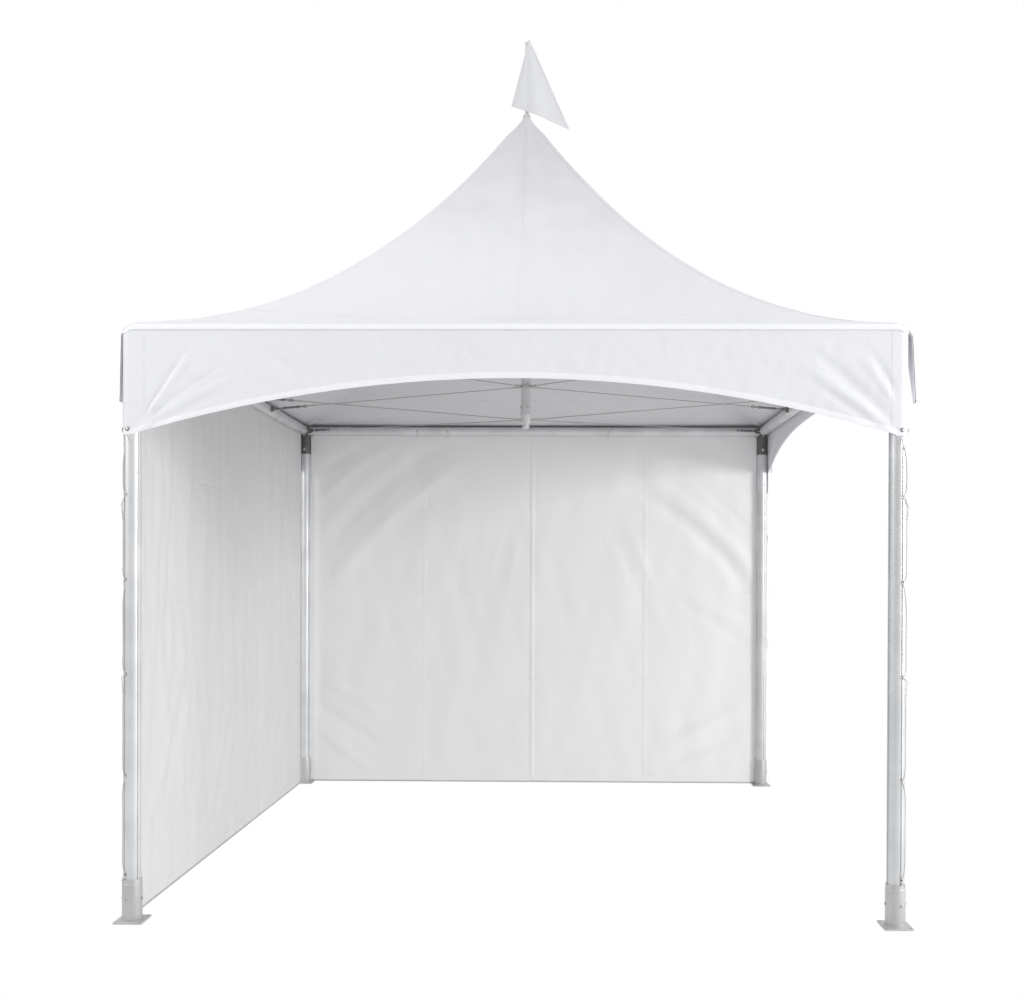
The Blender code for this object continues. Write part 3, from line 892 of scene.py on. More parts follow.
BOLT_METAL = Metal("zinc bolts", (0.62, 0.62, 0.60), 0.34, stretch=(300.0, 300.0, 300.0))
WIRE_METAL = Metal("wire rope", (0.52, 0.52, 0.53), 0.42, stretch=(400.0, 400.0, 400.0), metallic=0.6)
SCREW_METAL = Metal("straining screws", (0.26, 0.26, 0.27), 0.42, stretch=(300.0, 300.0, 300.0))
DARK_PAINT = Paint("dark grey paint", (0.125, 0.13, 0.125), 0.48)
# Near-black walls for the eyelet pits in the solid leg: painted shade standing in for the hollow inside.
HOLLOW_SHADE = Finish("dark inside", (0.015, 0.015, 0.016), 0.8)
CORD_BRAID = Braid("braided cord", (0.88, 0.88, 0.86), 0.75)


# ---- geometry node trees


def row_tree() -> bpy.types.NodeTree:
    """Make the tree that lays small rounded bars along lines, for stitches and weld beads."""
    wires, ins, outs = open_tree(
        "Row along a line",
        "GeometryNodeTree",
        {
            "Lines": (GEOMETRY, None),
            "Pitch": (FLOAT, 0.008),
            "Bar": (VECTOR, (0.005, 0.001, 0.001)),
            "Finish": ("NodeSocketMaterial", None),
        },
        {"Row": GEOMETRY},
    )
    line = wires.node("GeometryNodeMeshToCurve", {"Mesh": ins.outputs["Lines"]})
    places = wires.node(
        "GeometryNodeResampleCurve", {"Curve": line.outputs[0], "Length": ins.outputs["Pitch"]}, mode="LENGTH"
    )
    tangent = wires.node("GeometryNodeInputTangent")
    facing = wires.node("GeometryNodeInputNamedAttribute", {"Name": FACING}, data_type="FLOAT_VECTOR")
    along = wires.node("FunctionNodeAlignRotationToVector", {"Vector": tangent.outputs[0]}, axis="X")
    outward = wires.node(
        "FunctionNodeAlignRotationToVector",
        {"Rotation": along.outputs[0], "Vector": facing.outputs[0]},
        axis="Z",
        pivot_axis="X",
    )
    bar = wires.node("GeometryNodeMeshIcoSphere", {"Radius": 0.5, "Subdivisions": 1})
    placed = wires.node(
        "GeometryNodeInstanceOnPoints",
        {
            "Points": places.outputs[0],
            "Instance": bar.outputs[0],
            "Rotation": outward.outputs[0],
            "Scale": ins.outputs["Bar"],
        },
    )
    finish_tree(wires, placed.outputs[0], ins, outs)
    return wires.tree


def stud_tree() -> bpy.types.NodeTree:
    """Make the tree that puts one small part on each point, for bolts, rivets and eyelets."""
    wires, ins, outs = open_tree(
        "Studs on points",
        "GeometryNodeTree",
        {
            "Points": (GEOMETRY, None),
            "Part": ("NodeSocketObject", None),
            "Turn": (FLOAT, 1.0),
            "Finish": ("NodeSocketMaterial", None),
        },
        {"Studs": GEOMETRY},
    )
    part = wires.node("GeometryNodeObjectInfo", {"Object": ins.outputs["Part"]})
    facing = wires.node("GeometryNodeInputNamedAttribute", {"Name": FACING}, data_type="FLOAT_VECTOR")
    outward = wires.node("FunctionNodeAlignRotationToVector", {"Vector": facing.outputs[0]}, axis="Z")
    chance = wires.node("FunctionNodeRandomValue", {"Seed": 11}, data_type="FLOAT")
    turn = wires.math("MULTIPLY", next(o for o in chance.outputs if o.enabled), ins.outputs["Turn"])
    spin = wires.node("FunctionNodeAxisAngleToRotation", {"Axis": (0.0, 0.0, 1.0), "Angle": turn})
    both = wires.node(
        "FunctionNodeRotateRotation",
        {"Rotation": outward.outputs[0], "Rotate By": spin.outputs[0]},
        rotation_space="LOCAL",
    )
    placed = wires.node(
        "GeometryNodeInstanceOnPoints",
        {"Points": ins.outputs["Points"], "Instance": part.outputs["Geometry"], "Rotation": both.outputs[0]},
    )
    finish_tree(wires, placed.outputs[0], ins, outs)
    return wires.tree


def rope_tree() -> bpy.types.NodeTree:
    """Make the tree that twists a lobed section along lines, for wire rope and cord."""
    wires, ins, outs = open_tree(
        "Rope along a line",
        "GeometryNodeTree",
        {
            "Lines": (GEOMETRY, None),
            "Radius": (FLOAT, 0.003),
            "Lobes": (FLOAT, 6.0),
            "Depth": (FLOAT, 0.16),
            "Twists": (FLOAT, 30.0),
            "Step": (FLOAT, 0.004),
            "Finish": ("NodeSocketMaterial", None),
        },
        {"Rope": GEOMETRY},
    )
    line = wires.node("GeometryNodeMeshToCurve", {"Mesh": ins.outputs["Lines"]})
    places = wires.node(
        "GeometryNodeResampleCurve", {"Curve": line.outputs[0], "Length": ins.outputs["Step"]}, mode="LENGTH"
    )
    walked = wires.node("GeometryNodeSplineParameter").outputs["Length"]
    turns = wires.math("MULTIPLY", wires.math("MULTIPLY", walked, ins.outputs["Twists"]), 2.0 * math.pi)
    tilted = wires.node("GeometryNodeSetCurveTilt", {"Curve": places.outputs[0], "Tilt": turns})
    circle = wires.node("GeometryNodeCurvePrimitiveCircle", {"Resolution": 18, "Radius": ins.outputs["Radius"]})
    share = wires.node("GeometryNodeSplineParameter").outputs["Factor"]
    lobes = wires.math("COSINE", wires.math("MULTIPLY", wires.math("MULTIPLY", share, ins.outputs["Lobes"]), 2.0 * math.pi))
    grow = wires.math("ADD", 1.0, wires.math("MULTIPLY", lobes, ins.outputs["Depth"]))
    spot = wires.node("GeometryNodeInputPosition").outputs[0]
    section = wires.node(
        "GeometryNodeSetPosition",
        {"Geometry": circle.outputs["Curve"], "Position": wires.vector("MULTIPLY", spot, grow)},
    )
    skin = wires.node(
        "GeometryNodeCurveToMesh",
        {"Curve": tilted.outputs[0], "Profile Curve": section.outputs[0], "Fill Caps": True},
    )
    finish_tree(wires, skin.outputs[0], ins, outs)
    return wires.tree


def finish_tree(wires: Wires, made: bpy.types.NodeSocket, ins: bpy.types.Node, outs: bpy.types.Node) -> None:
    """End a geometry tree with real, smooth geometry in its finish."""
    real = wires.node("GeometryNodeRealizeInstances", {"Geometry": made})
    soft = wires.node("GeometryNodeSetShadeSmooth", {"Geometry": real.outputs[0]})
    dressed = wires.node(
        "GeometryNodeSetMaterial", {"Geometry": soft.outputs[0], "Material": ins.outputs["Finish"]}
    )
    wires.tree.links.new(dressed.outputs[0], outs.inputs[0])


TREES: dict[str, Callable[[], bpy.types.NodeTree]] = {
    "Row along a line": row_tree,
    "Studs on points": stud_tree,
    "Rope along a line": rope_tree,
}


@dataclass
class Line:
    """A line of points with the direction that each faces."""

    points: Array
    facing: Array
    closed: bool = False


def grow(name: str, tree: str, lines: Sequence[Line], finish: Finish, edges: bool = True, **sizes: Any) -> bpy.types.Object:
    """Make a piece with a geometry node tree over lines or points.

    Args:
        name: The piece's name.
        tree: Name of the tree.
        lines: Lines with facing directions.
        finish: The piece's finish.
        edges: Whether the points of a line are joined.
        **sizes: The tree's inputs, by name.

    Returns:
        The piece, as a plain mesh.
    """
    group = bpy.data.node_groups.get(tree) or TREES[tree]()
    points, facing, pairs = [], [], []
    for line in lines:
        first = len(points)
        points += line.points.tolist()
        facing += np.broadcast_to(line.facing, line.points.shape).tolist()
        count = len(line.points)
        pairs += [(first + k, first + k + 1) for k in range(count - 1)]
        if line.closed:
            pairs.append((first + count - 1, first))
    mesh = bpy.data.meshes.new(name)
    mesh.from_pydata(points, pairs if edges else [], [])
    layer = mesh.attributes.new(FACING, "FLOAT_VECTOR", "POINT")
    layer.data.foreach_set("vector", np.array(facing).ravel())
    item = bpy.data.objects.new(name, mesh)
    bpy.context.scene.collection.objects.link(item)
    change = item.modifiers.new(tree, "NODES")
    change.node_group = group
    keys = {s.name: s.identifier for s in group.interface.items_tree if s.in_out == "INPUT"}
    for label, value in {**sizes, "Finish": finish.material()}.items():
        change[keys[label]] = value
    item = flatten(item)
    if FACING in item.data.attributes:
        item.data.attributes.remove(item.data.attributes[FACING])
    return item


def stitch(name: str, lines: Sequence[Line], slot: Slot = Slot.VINYL, pitch: float = 0.009) -> bpy.types.Object:
    """Sew rows of thread along lines on a cloth."""
    bar = (0.6 * pitch, 0.0011, 0.0009)
    return settle(grow(name, "Row along a line", lines, THREAD, Pitch=pitch, Bar=bar), slot)


def studs(name: str, part: Shape, places: Sequence[tuple[Array, Array]], finish: Finish, slot: Slot, turn: float = 1.0) -> bpy.types.Object:
    """Put a small part, made along +Z, on each place and facing pair."""
    unit_part = part.build(f"{name}_unit", [finish])
    points = Line(np.array([p for p, _ in places]), np.array([f for _, f in places]))
    made = grow(name, "Studs on points", [points], finish, edges=False, Part=unit_part, Turn=turn)
    bpy.data.objects.remove(unit_part, do_unlink=True)
    made.data.set_sharp_from_angle(angle=HELD_SHARP)
    return settle(made, slot)


# ---- the tent's plan


def node_box(name: str) -> tuple[Array, Array]:
    """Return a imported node's low and high corners."""
    low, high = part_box(name)
    return np.array(low), np.array(high)


def axis_of(name: str) -> tuple[Array, Array]:
    """Return the two ends of a long round node's middle line, the inner end first."""
    item = bpy.data.objects[name]
    points = np.array([item.matrix_world @ v.co for v in item.data.vertices])
    middle = points.mean(0)
    _, _, axes = np.linalg.svd(points - middle, full_matrices=False)
    along = (points - middle) @ axes[0]
    ends = []
    for stop in (along.min(), along.max()):
        ends.append(points[np.abs(along - stop) < 1e-4].mean(0))
    ends.sort(key=lambda p: float(np.hypot(p[0], p[1])))
    return ends[0], ends[1]


@dataclass(frozen=True)
class Plan:
    """Main sizes of the tent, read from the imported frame, in metres."""

    half: float
    rail_z: float
    rail_r: float
    leg_r: float
    leg_top: float
    eave_half: float
    eave_z: float
    cloth_in: float
    valance_top: float
    tab_z: float
    plate: float
    socket_top: float
    linear: float = 0.265
    square: float = 1.168
    sag: float = 0.055
    cloth: float = 0.0018

    @classmethod
    def read(cls) -> "Plan":
        """Read the sizes from the frame."""
        foot_low, foot_high = node_box("foot_front_right")
        rail_low, rail_high = node_box("eave_rail_front")
        leg_high = node_box("leg_front_right")[1]
        roof_low, roof_high = node_box("canopy")
        valance_low, valance_high = node_box("valance_front")
        half = float(foot_low[0] + foot_high[0]) / 2.0
        rail_r = float(rail_high[2] - rail_low[2]) / 2.0
        return cls(
            half=half,
            rail_z=float(rail_high[2] + rail_low[2]) / 2.0,
            rail_r=rail_r,
            leg_r=rail_r + 0.004,
            leg_top=float(leg_high[2]),
            eave_half=float(roof_high[0]),
            eave_z=float(roof_low[2]) + 0.0075,
            cloth_in=-float(valance_low[1]) - half - 0.004,
            valance_top=float(valance_high[2]),
            tab_z=float(valance_low[2]),
            plate=0.008,
            socket_top=float(foot_high[2]),
        )

    def roof_height(self, share: Array, across: Array) -> Array:
        """Return the roof's outer height at a share of the way out and of a ring's side."""
        rest = 1.0 - share
        belly = np.sin(math.pi * share) * (1.0 - across * across)
        return self.eave_z + self.linear * rest + self.square * rest * rest - self.sag * belly

    def corner(self, corner: Corner) -> Array:
        """Return where a leg stands."""
        return np.array((*(corner.signs * self.half), 0.0))


PLAN = Plan.read()


def sheet_back(front: Array, thick: float, wrap: bool = False) -> Array:
    """Return the inner face of a sheet."""
    return front - grid_normals(front, wrap) * thick


def strip(shape: Shape, grid: Array, over: float, under: float, slot: int = 0) -> None:
    """Add a band of cloth welded over both faces of a sheet.

    Args:
        shape: Where the band goes.
        grid: The sheet's outer points under the band.
        over: Height of the band over the outer face.
        under: Depth of its inner face below the outer one.
        slot: Finish of the outer face.
    """
    normals = grid_normals(grid)
    down = np.linalg.norm(np.diff(grid, axis=0), axis=-1)
    along = np.linalg.norm(np.diff(grid, axis=1), axis=-1)
    uv = np.zeros((*grid.shape[:2], 2))
    uv[1:, :, 1] = np.cumsum(down, axis=0)
    uv[:, 1:, 0] = np.cumsum(along, axis=1)
    shape.cloth(grid + normals * over, grid - normals * under, uv, slot, lining=1)


# ---- cloth pieces


@dataclass(frozen=True)
class Roof:
    """The roof sheet, its folded edge, hip bindings, ring seam and centre seams.

    A row runs from 1 at the peak to 0 at the start of the shoulder, to -1 where
    the sheet hangs upright and to -2 at its lower edge.
    """

    plan: Plan
    hole: float = 0.016
    shoulder: float = 0.024
    lap: float = 0.006
    corner_drop: float = 0.014
    corner_run: float = 0.052
    corner_r: float = 0.0383
    corner_power: float = 12.0
    round_until: float = 0.05
    ring_seam: float = 0.749
    edge_rows: tuple[float, ...] = (-2.0, -1.5, -1.0, -0.8, -0.6)
    binding: float = 0.017
    seam: float = 0.0045
    over: float = 0.0007

    @property
    def inner(self) -> float:
        """Return the share of the way out at the peak hole."""
        return self.hole / self.plan.eave_half

    @property
    def outer(self) -> float:
        """Return the share of the way out where the shoulder starts."""
        return 1.0 - self.shoulder / self.plan.eave_half

    def row_of(self, share: float) -> float:
        """Return the row at a share of the way out."""
        return (self.outer - share) / (self.outer - self.inner)

    def rows(self) -> Array:
        """Return the rows of the sheet, from its lower edge to the peak."""
        edge = np.array((-2.0, -1.5, -1.0, -0.88, -0.76, -0.64, -0.52, -0.4, -0.3, -0.2, -0.1))
        slope = stations(0.0, 1.0, 0.015, marks=(self.row_of(self.ring_seam),), reach=0.008)
        return np.concatenate((edge, slope))

    @staticmethod
    def columns() -> Array:
        """Return places across one side, from -1 at one hip to 1 at the next."""
        edge = 1.0 - np.array((0.0, 0.004, 0.008, 0.012, 0.016, 0.021, 0.027, 0.034, 0.042))
        return np.concatenate((-edge, np.linspace(-0.945, 0.945, 64), edge[::-1]))

    def skin(self, side: Side, across: Array, rows: Array) -> Array:
        """Return points of the sheet's outer face.

        Args:
            side: Side of the tent.
            across: Places across the side, rows by columns.
            rows: The rows.

        Returns:
            Rows by columns of points.
        """
        plan = self.plan
        t = np.broadcast_to(rows[:, None], across.shape)
        share = self.outer + (self.inner - self.outer) * np.clip(t, 0.0, 1.0)
        reach = share * plan.eave_half
        z = plan.roof_height(share, across)
        rest = 1.0 - share
        rise = plan.linear + 2.0 * plan.square * rest + plan.sag * math.pi * np.cos(math.pi * share) * (
            1.0 - across * across
        )
        lean = np.arctan(rise / plan.eave_half)
        bend_r = self.shoulder / (1.0 - np.sin(lean))
        angle = lean + (0.5 * math.pi - lean) * np.clip(-t, 0.0, 1.0)
        folded = t < 0.0
        reach = np.where(folded, reach + bend_r * (np.sin(angle) - np.sin(lean)), reach)
        z = np.where(folded, z + bend_r * (np.cos(angle) - np.cos(lean)), z)
        z = z - self.lap * np.clip(-t - 1.0, 0.0, 1.0)
        cut = self.corner_r * (reach / plan.eave_half) ** self.corner_power
        x = reach * across
        limit = reach - cut
        turn = np.clip((np.abs(x) - limit) / cut, 0.0, 1.0) * 0.25 * math.pi
        cornered = turn > 0.0
        flat_x = np.where(cornered, np.sign(x) * (limit + cut * np.sin(turn)), x)
        flat_y = np.where(cornered, -(limit + cut * np.cos(turn)), -reach)
        squared = np.clip((share - self.inner) / (1.0 - self.inner) / self.round_until, 0.0, 1.0)
        spread = across * 0.25 * math.pi
        x = reach * np.sin(spread) * (1.0 - squared) + flat_x * squared
        y = -reach * np.cos(spread) * (1.0 - squared) + flat_y * squared
        edge = 1.0 - self.corner_run / plan.eave_half
        z = z - self.corner_drop * smooth_step(edge, 1.0, np.abs(across)) * smooth_step(0.90, 0.985, share)
        points = side.place(np.stack((x, y, z), axis=-1))
        points[..., 2] += self.wrinkles(points, share) * smooth_step(-0.6, 0.10, t)
        return points

    def wrinkles(self, points: Array, share: Array) -> Array:
        """Return how far soft wrinkles lift the sheet at its points."""
        x, y = points[..., 0], points[..., 1]
        clear = smooth_step(1.0, 0.90, share) * smooth_step(0.02, 0.12, share)
        total = 0.0016 * ripples(x, y, (0.28, 0.75), 0.6, 1.5, seed=5) * clear
        total += 0.0007 * ripples(x, y, (0.10, 0.24), 0.9, 1.5, seed=8) * clear
        for k, corner in enumerate(Corner):
            sx, sy = corner.signs
            dx, dy = self.plan.half - sx * x, self.plan.half - sy * y
            distance = np.hypot(dx, dy)
            fan = np.arctan2(dy, dx)
            near = np.exp(-distance / 0.30) * smooth_step(0.03, 0.16, distance)
            total += 0.0062 * near * np.sin(17.0 * fan + 1.3 * k) * np.cos(5.0 * fan + k)
        radius, angle = np.hypot(x, y), np.arctan2(y, x)
        total += 0.0028 * np.exp(-radius / 0.30) * smooth_step(0.03, 0.2, radius) * np.sin(12.0 * angle + 0.4)
        return total

    def build(self) -> None:
        """Make the sheet, its bindings and its stitches."""
        plan, rows, across = self.plan, self.rows(), self.columns()
        grids = [self.skin(side, np.tile(across[:-1], (len(rows), 1)), rows) for side in Side]
        whole = np.concatenate(grids, axis=1)
        inside = sheet_back(whole, plan.cloth, wrap=True)
        shape = Shape()
        count = len(across) - 1
        area = 0.0
        for side in Side:
            pick = (np.arange(count + 1) + side.value * count) % (4 * count)
            front, back = whole[:, pick], inside[:, pick]
            down = np.concatenate(([0.0], np.cumsum(np.linalg.norm(np.diff(front[:, count // 2], axis=0), axis=-1))))
            reach = np.abs(front[:, :, :2]).max(axis=2)
            uv = np.stack((reach * across[None], np.broadcast_to(down[:, None], reach.shape)), axis=-1)
            shape.cloth(front, back, uv, side_rims=False, lining=1)
            area += grid_area(front)
        sheet = settle(shape.build("canopy_sheet", [CANOPY_VINYL, SHADED_LINING_VINYL], weld=2e-6), Slot.VINYL, "canopy")
        bands = settle(self.bands().build("canopy_bindings", [CANOPY_VINYL, SHADED_LINING_VINYL, HEM_AND_HIGHLIGHT_VINYL]), Slot.VINYL)
        rows_sewn = stitch("canopy_stitches", self.seams(), pitch=0.013)

    def beside(self, side: Side, offsets: Sequence[float], rows: Array) -> Array:
        """Return points at even distances from the hip after a side, or from its middle line.

        Args:
            side: The side whose end hip is meant.
            offsets: Distances from the hip, the side's own negative.
            rows: The rows.

        Returns:
            Rows by offsets of points.
        """
        nxt = Side((side.value + 1) % 4)
        share = self.outer + (self.inner - self.outer) * np.clip(rows, 0.0, 1.0)
        reach = share * self.plan.eave_half
        lines = []
        for offset in offsets:
            away = np.minimum(abs(offset) / reach, 0.9)
            here, place = (side, 1.0 - away) if offset <= 0.0 else (nxt, away - 1.0)
            lines.append(self.skin(here, place[:, None], rows)[:, 0])
        return np.stack(lines, axis=1)

    def middle(self, side: Side, offsets: Sequence[float], rows: Array) -> Array:
        """Return points at even distances from a side's middle line."""
        share = self.outer + (self.inner - self.outer) * np.clip(rows, 0.0, 1.0)
        place = np.array(offsets)[None] / (share * self.plan.eave_half)[:, None]
        return self.skin(side, place, rows)

    def bands(self) -> Shape:
        """Make the welded bands: hip bindings, centre seams, the ring seam and the band over the folded edge."""
        shape = Shape()
        plan = self.plan
        under = plan.cloth + self.over
        hip_rows = np.concatenate((np.linspace(-0.9, 0.0, 8), np.linspace(0.02, 0.975, 90)))
        w, s = self.binding, self.seam
        for side in Side:
            strip(shape, self.beside(side, (-w, -0.6 * w, -0.2 * w, 0.0, 0.2 * w, 0.6 * w, w), hip_rows), self.over, under)
            strip(shape, self.middle(side, (-s, 0.0, s), np.linspace(0.01, 0.97, 120)), self.over, under)
        half = 0.012 / plan.eave_half
        seam_rows = np.array([self.row_of(self.ring_seam + k * half) for k in (1.0, 0.3, -0.3, -1.0)])
        across = self.columns()
        for side in Side:
            strip(shape, self.skin(side, np.tile(across, (4, 1)), seam_rows), self.over, under)
            edge = self.skin(side, np.tile(across, (len(self.edge_rows), 1)), np.array(self.edge_rows))
            # The band over the folded edge takes the brighter hem finish: a painted highlight on the shoulder.
            strip(shape, edge, self.over, under, slot=2)
        return shape

    def seams(self) -> list[Line]:
        """Return the stitch lines beside the bands."""
        lines = []
        rows = np.concatenate((np.linspace(-0.85, 0.0, 6), np.linspace(0.02, 0.92, 120)))
        lift = self.over + 0.0002
        for side in Side:
            edge = 0.78 * self.binding
            grid = self.beside(side, (-edge - 0.003, -edge, edge, edge + 0.003), rows)
            normals = grid_normals(grid)
            lines += [Line(grid[:, k] + normals[:, k] * lift, normals[:, k]) for k in (1, 2)]
            lap = self.skin(side, np.tile(self.columns(), (3, 1)), np.array((-1.75, -1.45, -1.0)))
            normal = grid_normals(lap)
            lines.append(Line(lap[1] + normal[1] * 0.0002, normal[1]))
        return lines


@dataclass(frozen=True)
class Arch:
    """The lower edge of a valance between the tabs that hang down the legs."""

    half: float
    crown: float
    spring: float
    power: float
    step: float = 0.003

    def height(self, along: Array, tab_z: float) -> Array:
        """Return the edge's height, which falls to the tabs' own past the arch."""
        away = np.abs(along)
        curve = self.crown - (self.crown - self.spring) * np.minimum(away / self.half, 1.0) ** self.power
        return curve + (tab_z - self.spring) * np.clip((away - self.half) / self.step, 0.0, 1.0)


@dataclass(frozen=True)
class Patch:
    """A reinforcing patch on a valance: a range along it and a range of heights."""

    along: tuple[float, float]
    heights: tuple[float, float]


@dataclass(frozen=True)
class Valance:
    """A hanging band with an arched lower edge whose ends wrap half round the legs."""

    plan: Plan
    side: Side
    arch: Arch
    folds: tuple[Fold, ...]
    patches: tuple[Patch, ...]
    seed: int
    step: float
    hem: float = 0.022
    over: float = 0.0007
    top: float = 2.3122
    corner_drop: float = 0.014
    corner_run: float = 0.052

    @property
    def stop(self) -> float:
        """Return how far the band reaches along its line from the middle."""
        return self.plan.half + (self.plan.cloth_in + self.plan.cloth) * 0.25 * math.pi - 0.0006

    def skin(self, along: Array, height: Array, lift: float = 0.0) -> Array:
        """Return points of the outer face.

        Args:
            along: Places along the band from its middle.
            height: Heights.
            lift: Distance over the face.

        Returns:
            Points, placed on this side.
        """
        plan = self.plan
        base = plan.cloth_in + plan.cloth + 0.0002
        out = base + lift + self.swell(along, height)
        past = np.clip(np.abs(along) - plan.half, 0.0, None)
        turn = past / base
        x = np.sign(along) * (np.minimum(np.abs(along), plan.half) + out * np.sin(turn))
        y = -plan.half - out * np.cos(turn)
        return self.side.place(np.stack((x, y, height), axis=-1))

    def swell(self, along: Array, height: Array) -> Array:
        """Return how far the cloth stands out from its plane."""
        free = smooth_step(self.top, self.top - 0.05, height)
        at_leg = smooth_step(self.plan.half - 0.005, self.plan.half - 0.045, np.abs(along))
        hang = smooth_step(2.30, 1.95, height)
        soft = 0.0011 * ripples(along, height, (0.16, 0.5), 0.0, 0.5, self.seed) * hang
        soft = soft + 0.0006 * ripples(along, height, (0.05, 0.13), 0.4, 0.9, self.seed + 40)
        belly = 0.003 * hang
        return (sum_folds(self.folds, along, height) + soft + belly) * free * at_leg

    def low(self, along: Array) -> Array:
        """Return the height of the lower edge."""
        return self.arch.height(along, self.plan.tab_z)

    def bolt(self, end: float, height: float, turn: float) -> tuple[Array, Array]:
        """Return the place and the facing of a bolt through the tab at one end, turned round the leg."""
        along = np.array([end * (self.plan.half + turn * (self.plan.cloth_in + self.plan.cloth))])
        spot, outer = (self.skin(along, np.array([height]), lift)[0] for lift in (0.0004, 0.0104))
        return spot, unit(outer - spot)

    def ceiling(self, along: Array) -> Array:
        """Return the height of the upper edge, which drops at the corners."""
        edge = self.plan.half + 0.03 - self.corner_run
        return self.top - self.corner_drop * smooth_step(edge, self.plan.half + 0.03, np.abs(along))

    def build(self) -> None:
        """Make the sheet, its hem and patches and its stitches."""
        plan, label = self.plan, self.side.label
        marks = (plan.half, self.arch.half, self.arch.half + self.arch.step)
        along = stations(-self.stop, self.stop, self.step, marks=(*marks, *(-m for m in marks)), reach=0.03)
        low, high = self.low(along), self.ceiling(along)
        share = stations(0.0, 1.0, 0.032)[:, None]
        height = low[None] + (high - low)[None] * share
        wide = np.broadcast_to(along[None], height.shape)
        uv = np.stack((wide, height), axis=-1)
        shape = Shape()
        front, back = self.skin(wide, height), self.skin(wide, height, -plan.cloth)
        shape.cloth(front, back, uv)
        sheet = settle(
            shape.build(f"valance_{label}_sheet", [VALANCE_VINYL]), Slot.VINYL, f"valance_{label}"
        )
        trim = self.trim(along).build(f"valance_{label}_hem", [HEM_AND_HIGHLIGHT_VINYL, VALANCE_VINYL])
        settle(trim, Slot.VINYL)
        sewn = stitch(f"valance_{label}_stitches", self.sewing(along))

    def trim(self, along: Array) -> Shape:
        """Make the hem band along the lower edge and the corner patches."""
        shape = Shape()
        low = self.low(along)
        offsets = np.array((-0.0008, 0.006, 0.014, self.hem - 0.001, self.hem))[:, None]
        lift = np.array((self.over, self.over, self.over, self.over, 0.0001))[:, None]
        self.band(shape, along, low[None] + offsets, lift)
        for patch in self.patches:
            places = stations(*patch.along, 0.010)
            heights = stations(*patch.heights, 0.014)[:, None] + 0.0 * places[None]
            heights = np.minimum(heights, self.ceiling(places)[None] - 0.001)
            self.band(shape, places, heights, np.full((len(heights), 1), 0.8 * self.over), slot=1)
        return shape

    def band(self, shape: Shape, along: Array, heights: Array, lift: Array, slot: int = 0) -> None:
        """Add a band over both faces of the sheet."""
        wide = np.broadcast_to(along[None], heights.shape)
        front = self.skin(wide, heights, lift)
        back = self.skin(wide, heights, -self.plan.cloth - lift)
        shape.cloth(front, back, np.stack((wide, heights), axis=-1), slot)

    def sewing(self, along: Array) -> list[Line]:
        """Return the stitch lines of the hem and the patches."""
        low = self.low(along)
        normal = self.side.place(np.array((0.0, -1.0, 0.0)))
        lift = self.over + 0.0003
        lines = [Line(self.skin(along, low + offset, lift), normal) for offset in (0.004, self.hem - 0.003)]
        for patch in self.patches:
            inner = min(patch.along, key=abs)
            heights = np.linspace(*patch.heights, 30)
            across = np.linspace(*patch.along, 20)
            step = math.copysign(0.003, inner)
            lines.append(Line(self.skin(np.full(30, inner + step), heights, lift), normal))
            lines.append(Line(self.skin(across, np.full(20, patch.heights[0] + 0.003), lift), normal))
        return lines


@dataclass(frozen=True)
class CornerFlap:
    """The loose flap beside a side valance, hung from its upper edge and narrower at its foot."""

    plan: Plan
    corner: Corner
    over: float = 0.0006
    foot_width: float = 0.030
    hem: float = 0.009

    def skin(self, across: Array, down: Array, lift: float = 0.0) -> Array:
        """Return points at shares across, out to the free edge, and down the flap."""
        low, high = node_box(f"corner_flap_{self.corner.label}")
        sx, sy = self.corner.signs
        near, far = sorted((abs(float(low[0])), abs(float(high[0]))))
        y_in, y_out = sorted((abs(float(low[1])), abs(float(high[1]))))
        width = (y_out - y_in) + (self.foot_width - (y_out - y_in)) * down
        flare = (far - near - self.plan.cloth) * (0.5 * smooth_step(0.0, 0.10, down) + 0.5 * down)
        curl = 0.10 * (far - near) * down * np.sin(math.pi * across)
        x = near + flare + curl * (1.0 - down) + lift
        z = float(high[2]) + float(low[2] - high[2]) * down
        return np.stack((sx * x, sy * (y_out - width * (1.0 - across)), z + 0.0 * across), axis=-1)

    def build(self) -> None:
        """Make the flap, its hems and its stitches."""
        low, high = node_box(f"corner_flap_{self.corner.label}")
        width, drop = float(high[1] - low[1]), float(high[2] - low[2])
        down, across = np.meshgrid(stations(0.0, 1.0, 0.03), stations(0.0, 1.0, 0.06), indexing="ij")
        grid = self.skin(across, down)
        uv = np.stack((grid[..., 1], grid[..., 2]), axis=-1)
        shape = Shape()
        shape.cloth(self.skin(across, down, self.plan.cloth), grid, uv)
        name = f"corner_flap_{self.corner.label}"
        sheet = settle(shape.build(f"{name}_sheet", [VALANCE_VINYL]), Slot.VINYL, name)
        hems = Shape()
        local = width + (self.foot_width - width) * down
        foot = 1.0 - (self.hem / drop) * (1.0 - np.linspace(0.0, 1.0, 4))
        side = np.linspace(0.0, 1.0, 4)[None] * self.hem / local[:, :4]
        for u, v in ((across[:4], np.repeat(foot[:, None], across.shape[1], 1)), (side, down[:, :4]), (1.0 - side[:, ::-1], down[:, :4])):
            outer, inner = self.skin(u, v, self.plan.cloth + self.over), self.skin(u, v, -self.over)
            hems.cloth(outer, inner, np.stack((outer[..., 1], outer[..., 2]), axis=-1))
        trim = settle(hems.build(f"{name}_hems", [HEM_AND_HIGHLIGHT_VINYL]), Slot.VINYL)
        out = np.array((self.corner.signs[0], 0.0, 0.0))
        lift = self.plan.cloth + self.over + 0.0002
        runs = ((across[0], 0.0 * across[0] + foot[0]), (side[:, -1], down[:, 0]), (1.0 - side[:, -1], down[:, 0]))
        sewn = stitch(f"{name}_stitches", [Line(self.skin(u, v, lift), out) for u, v in runs])


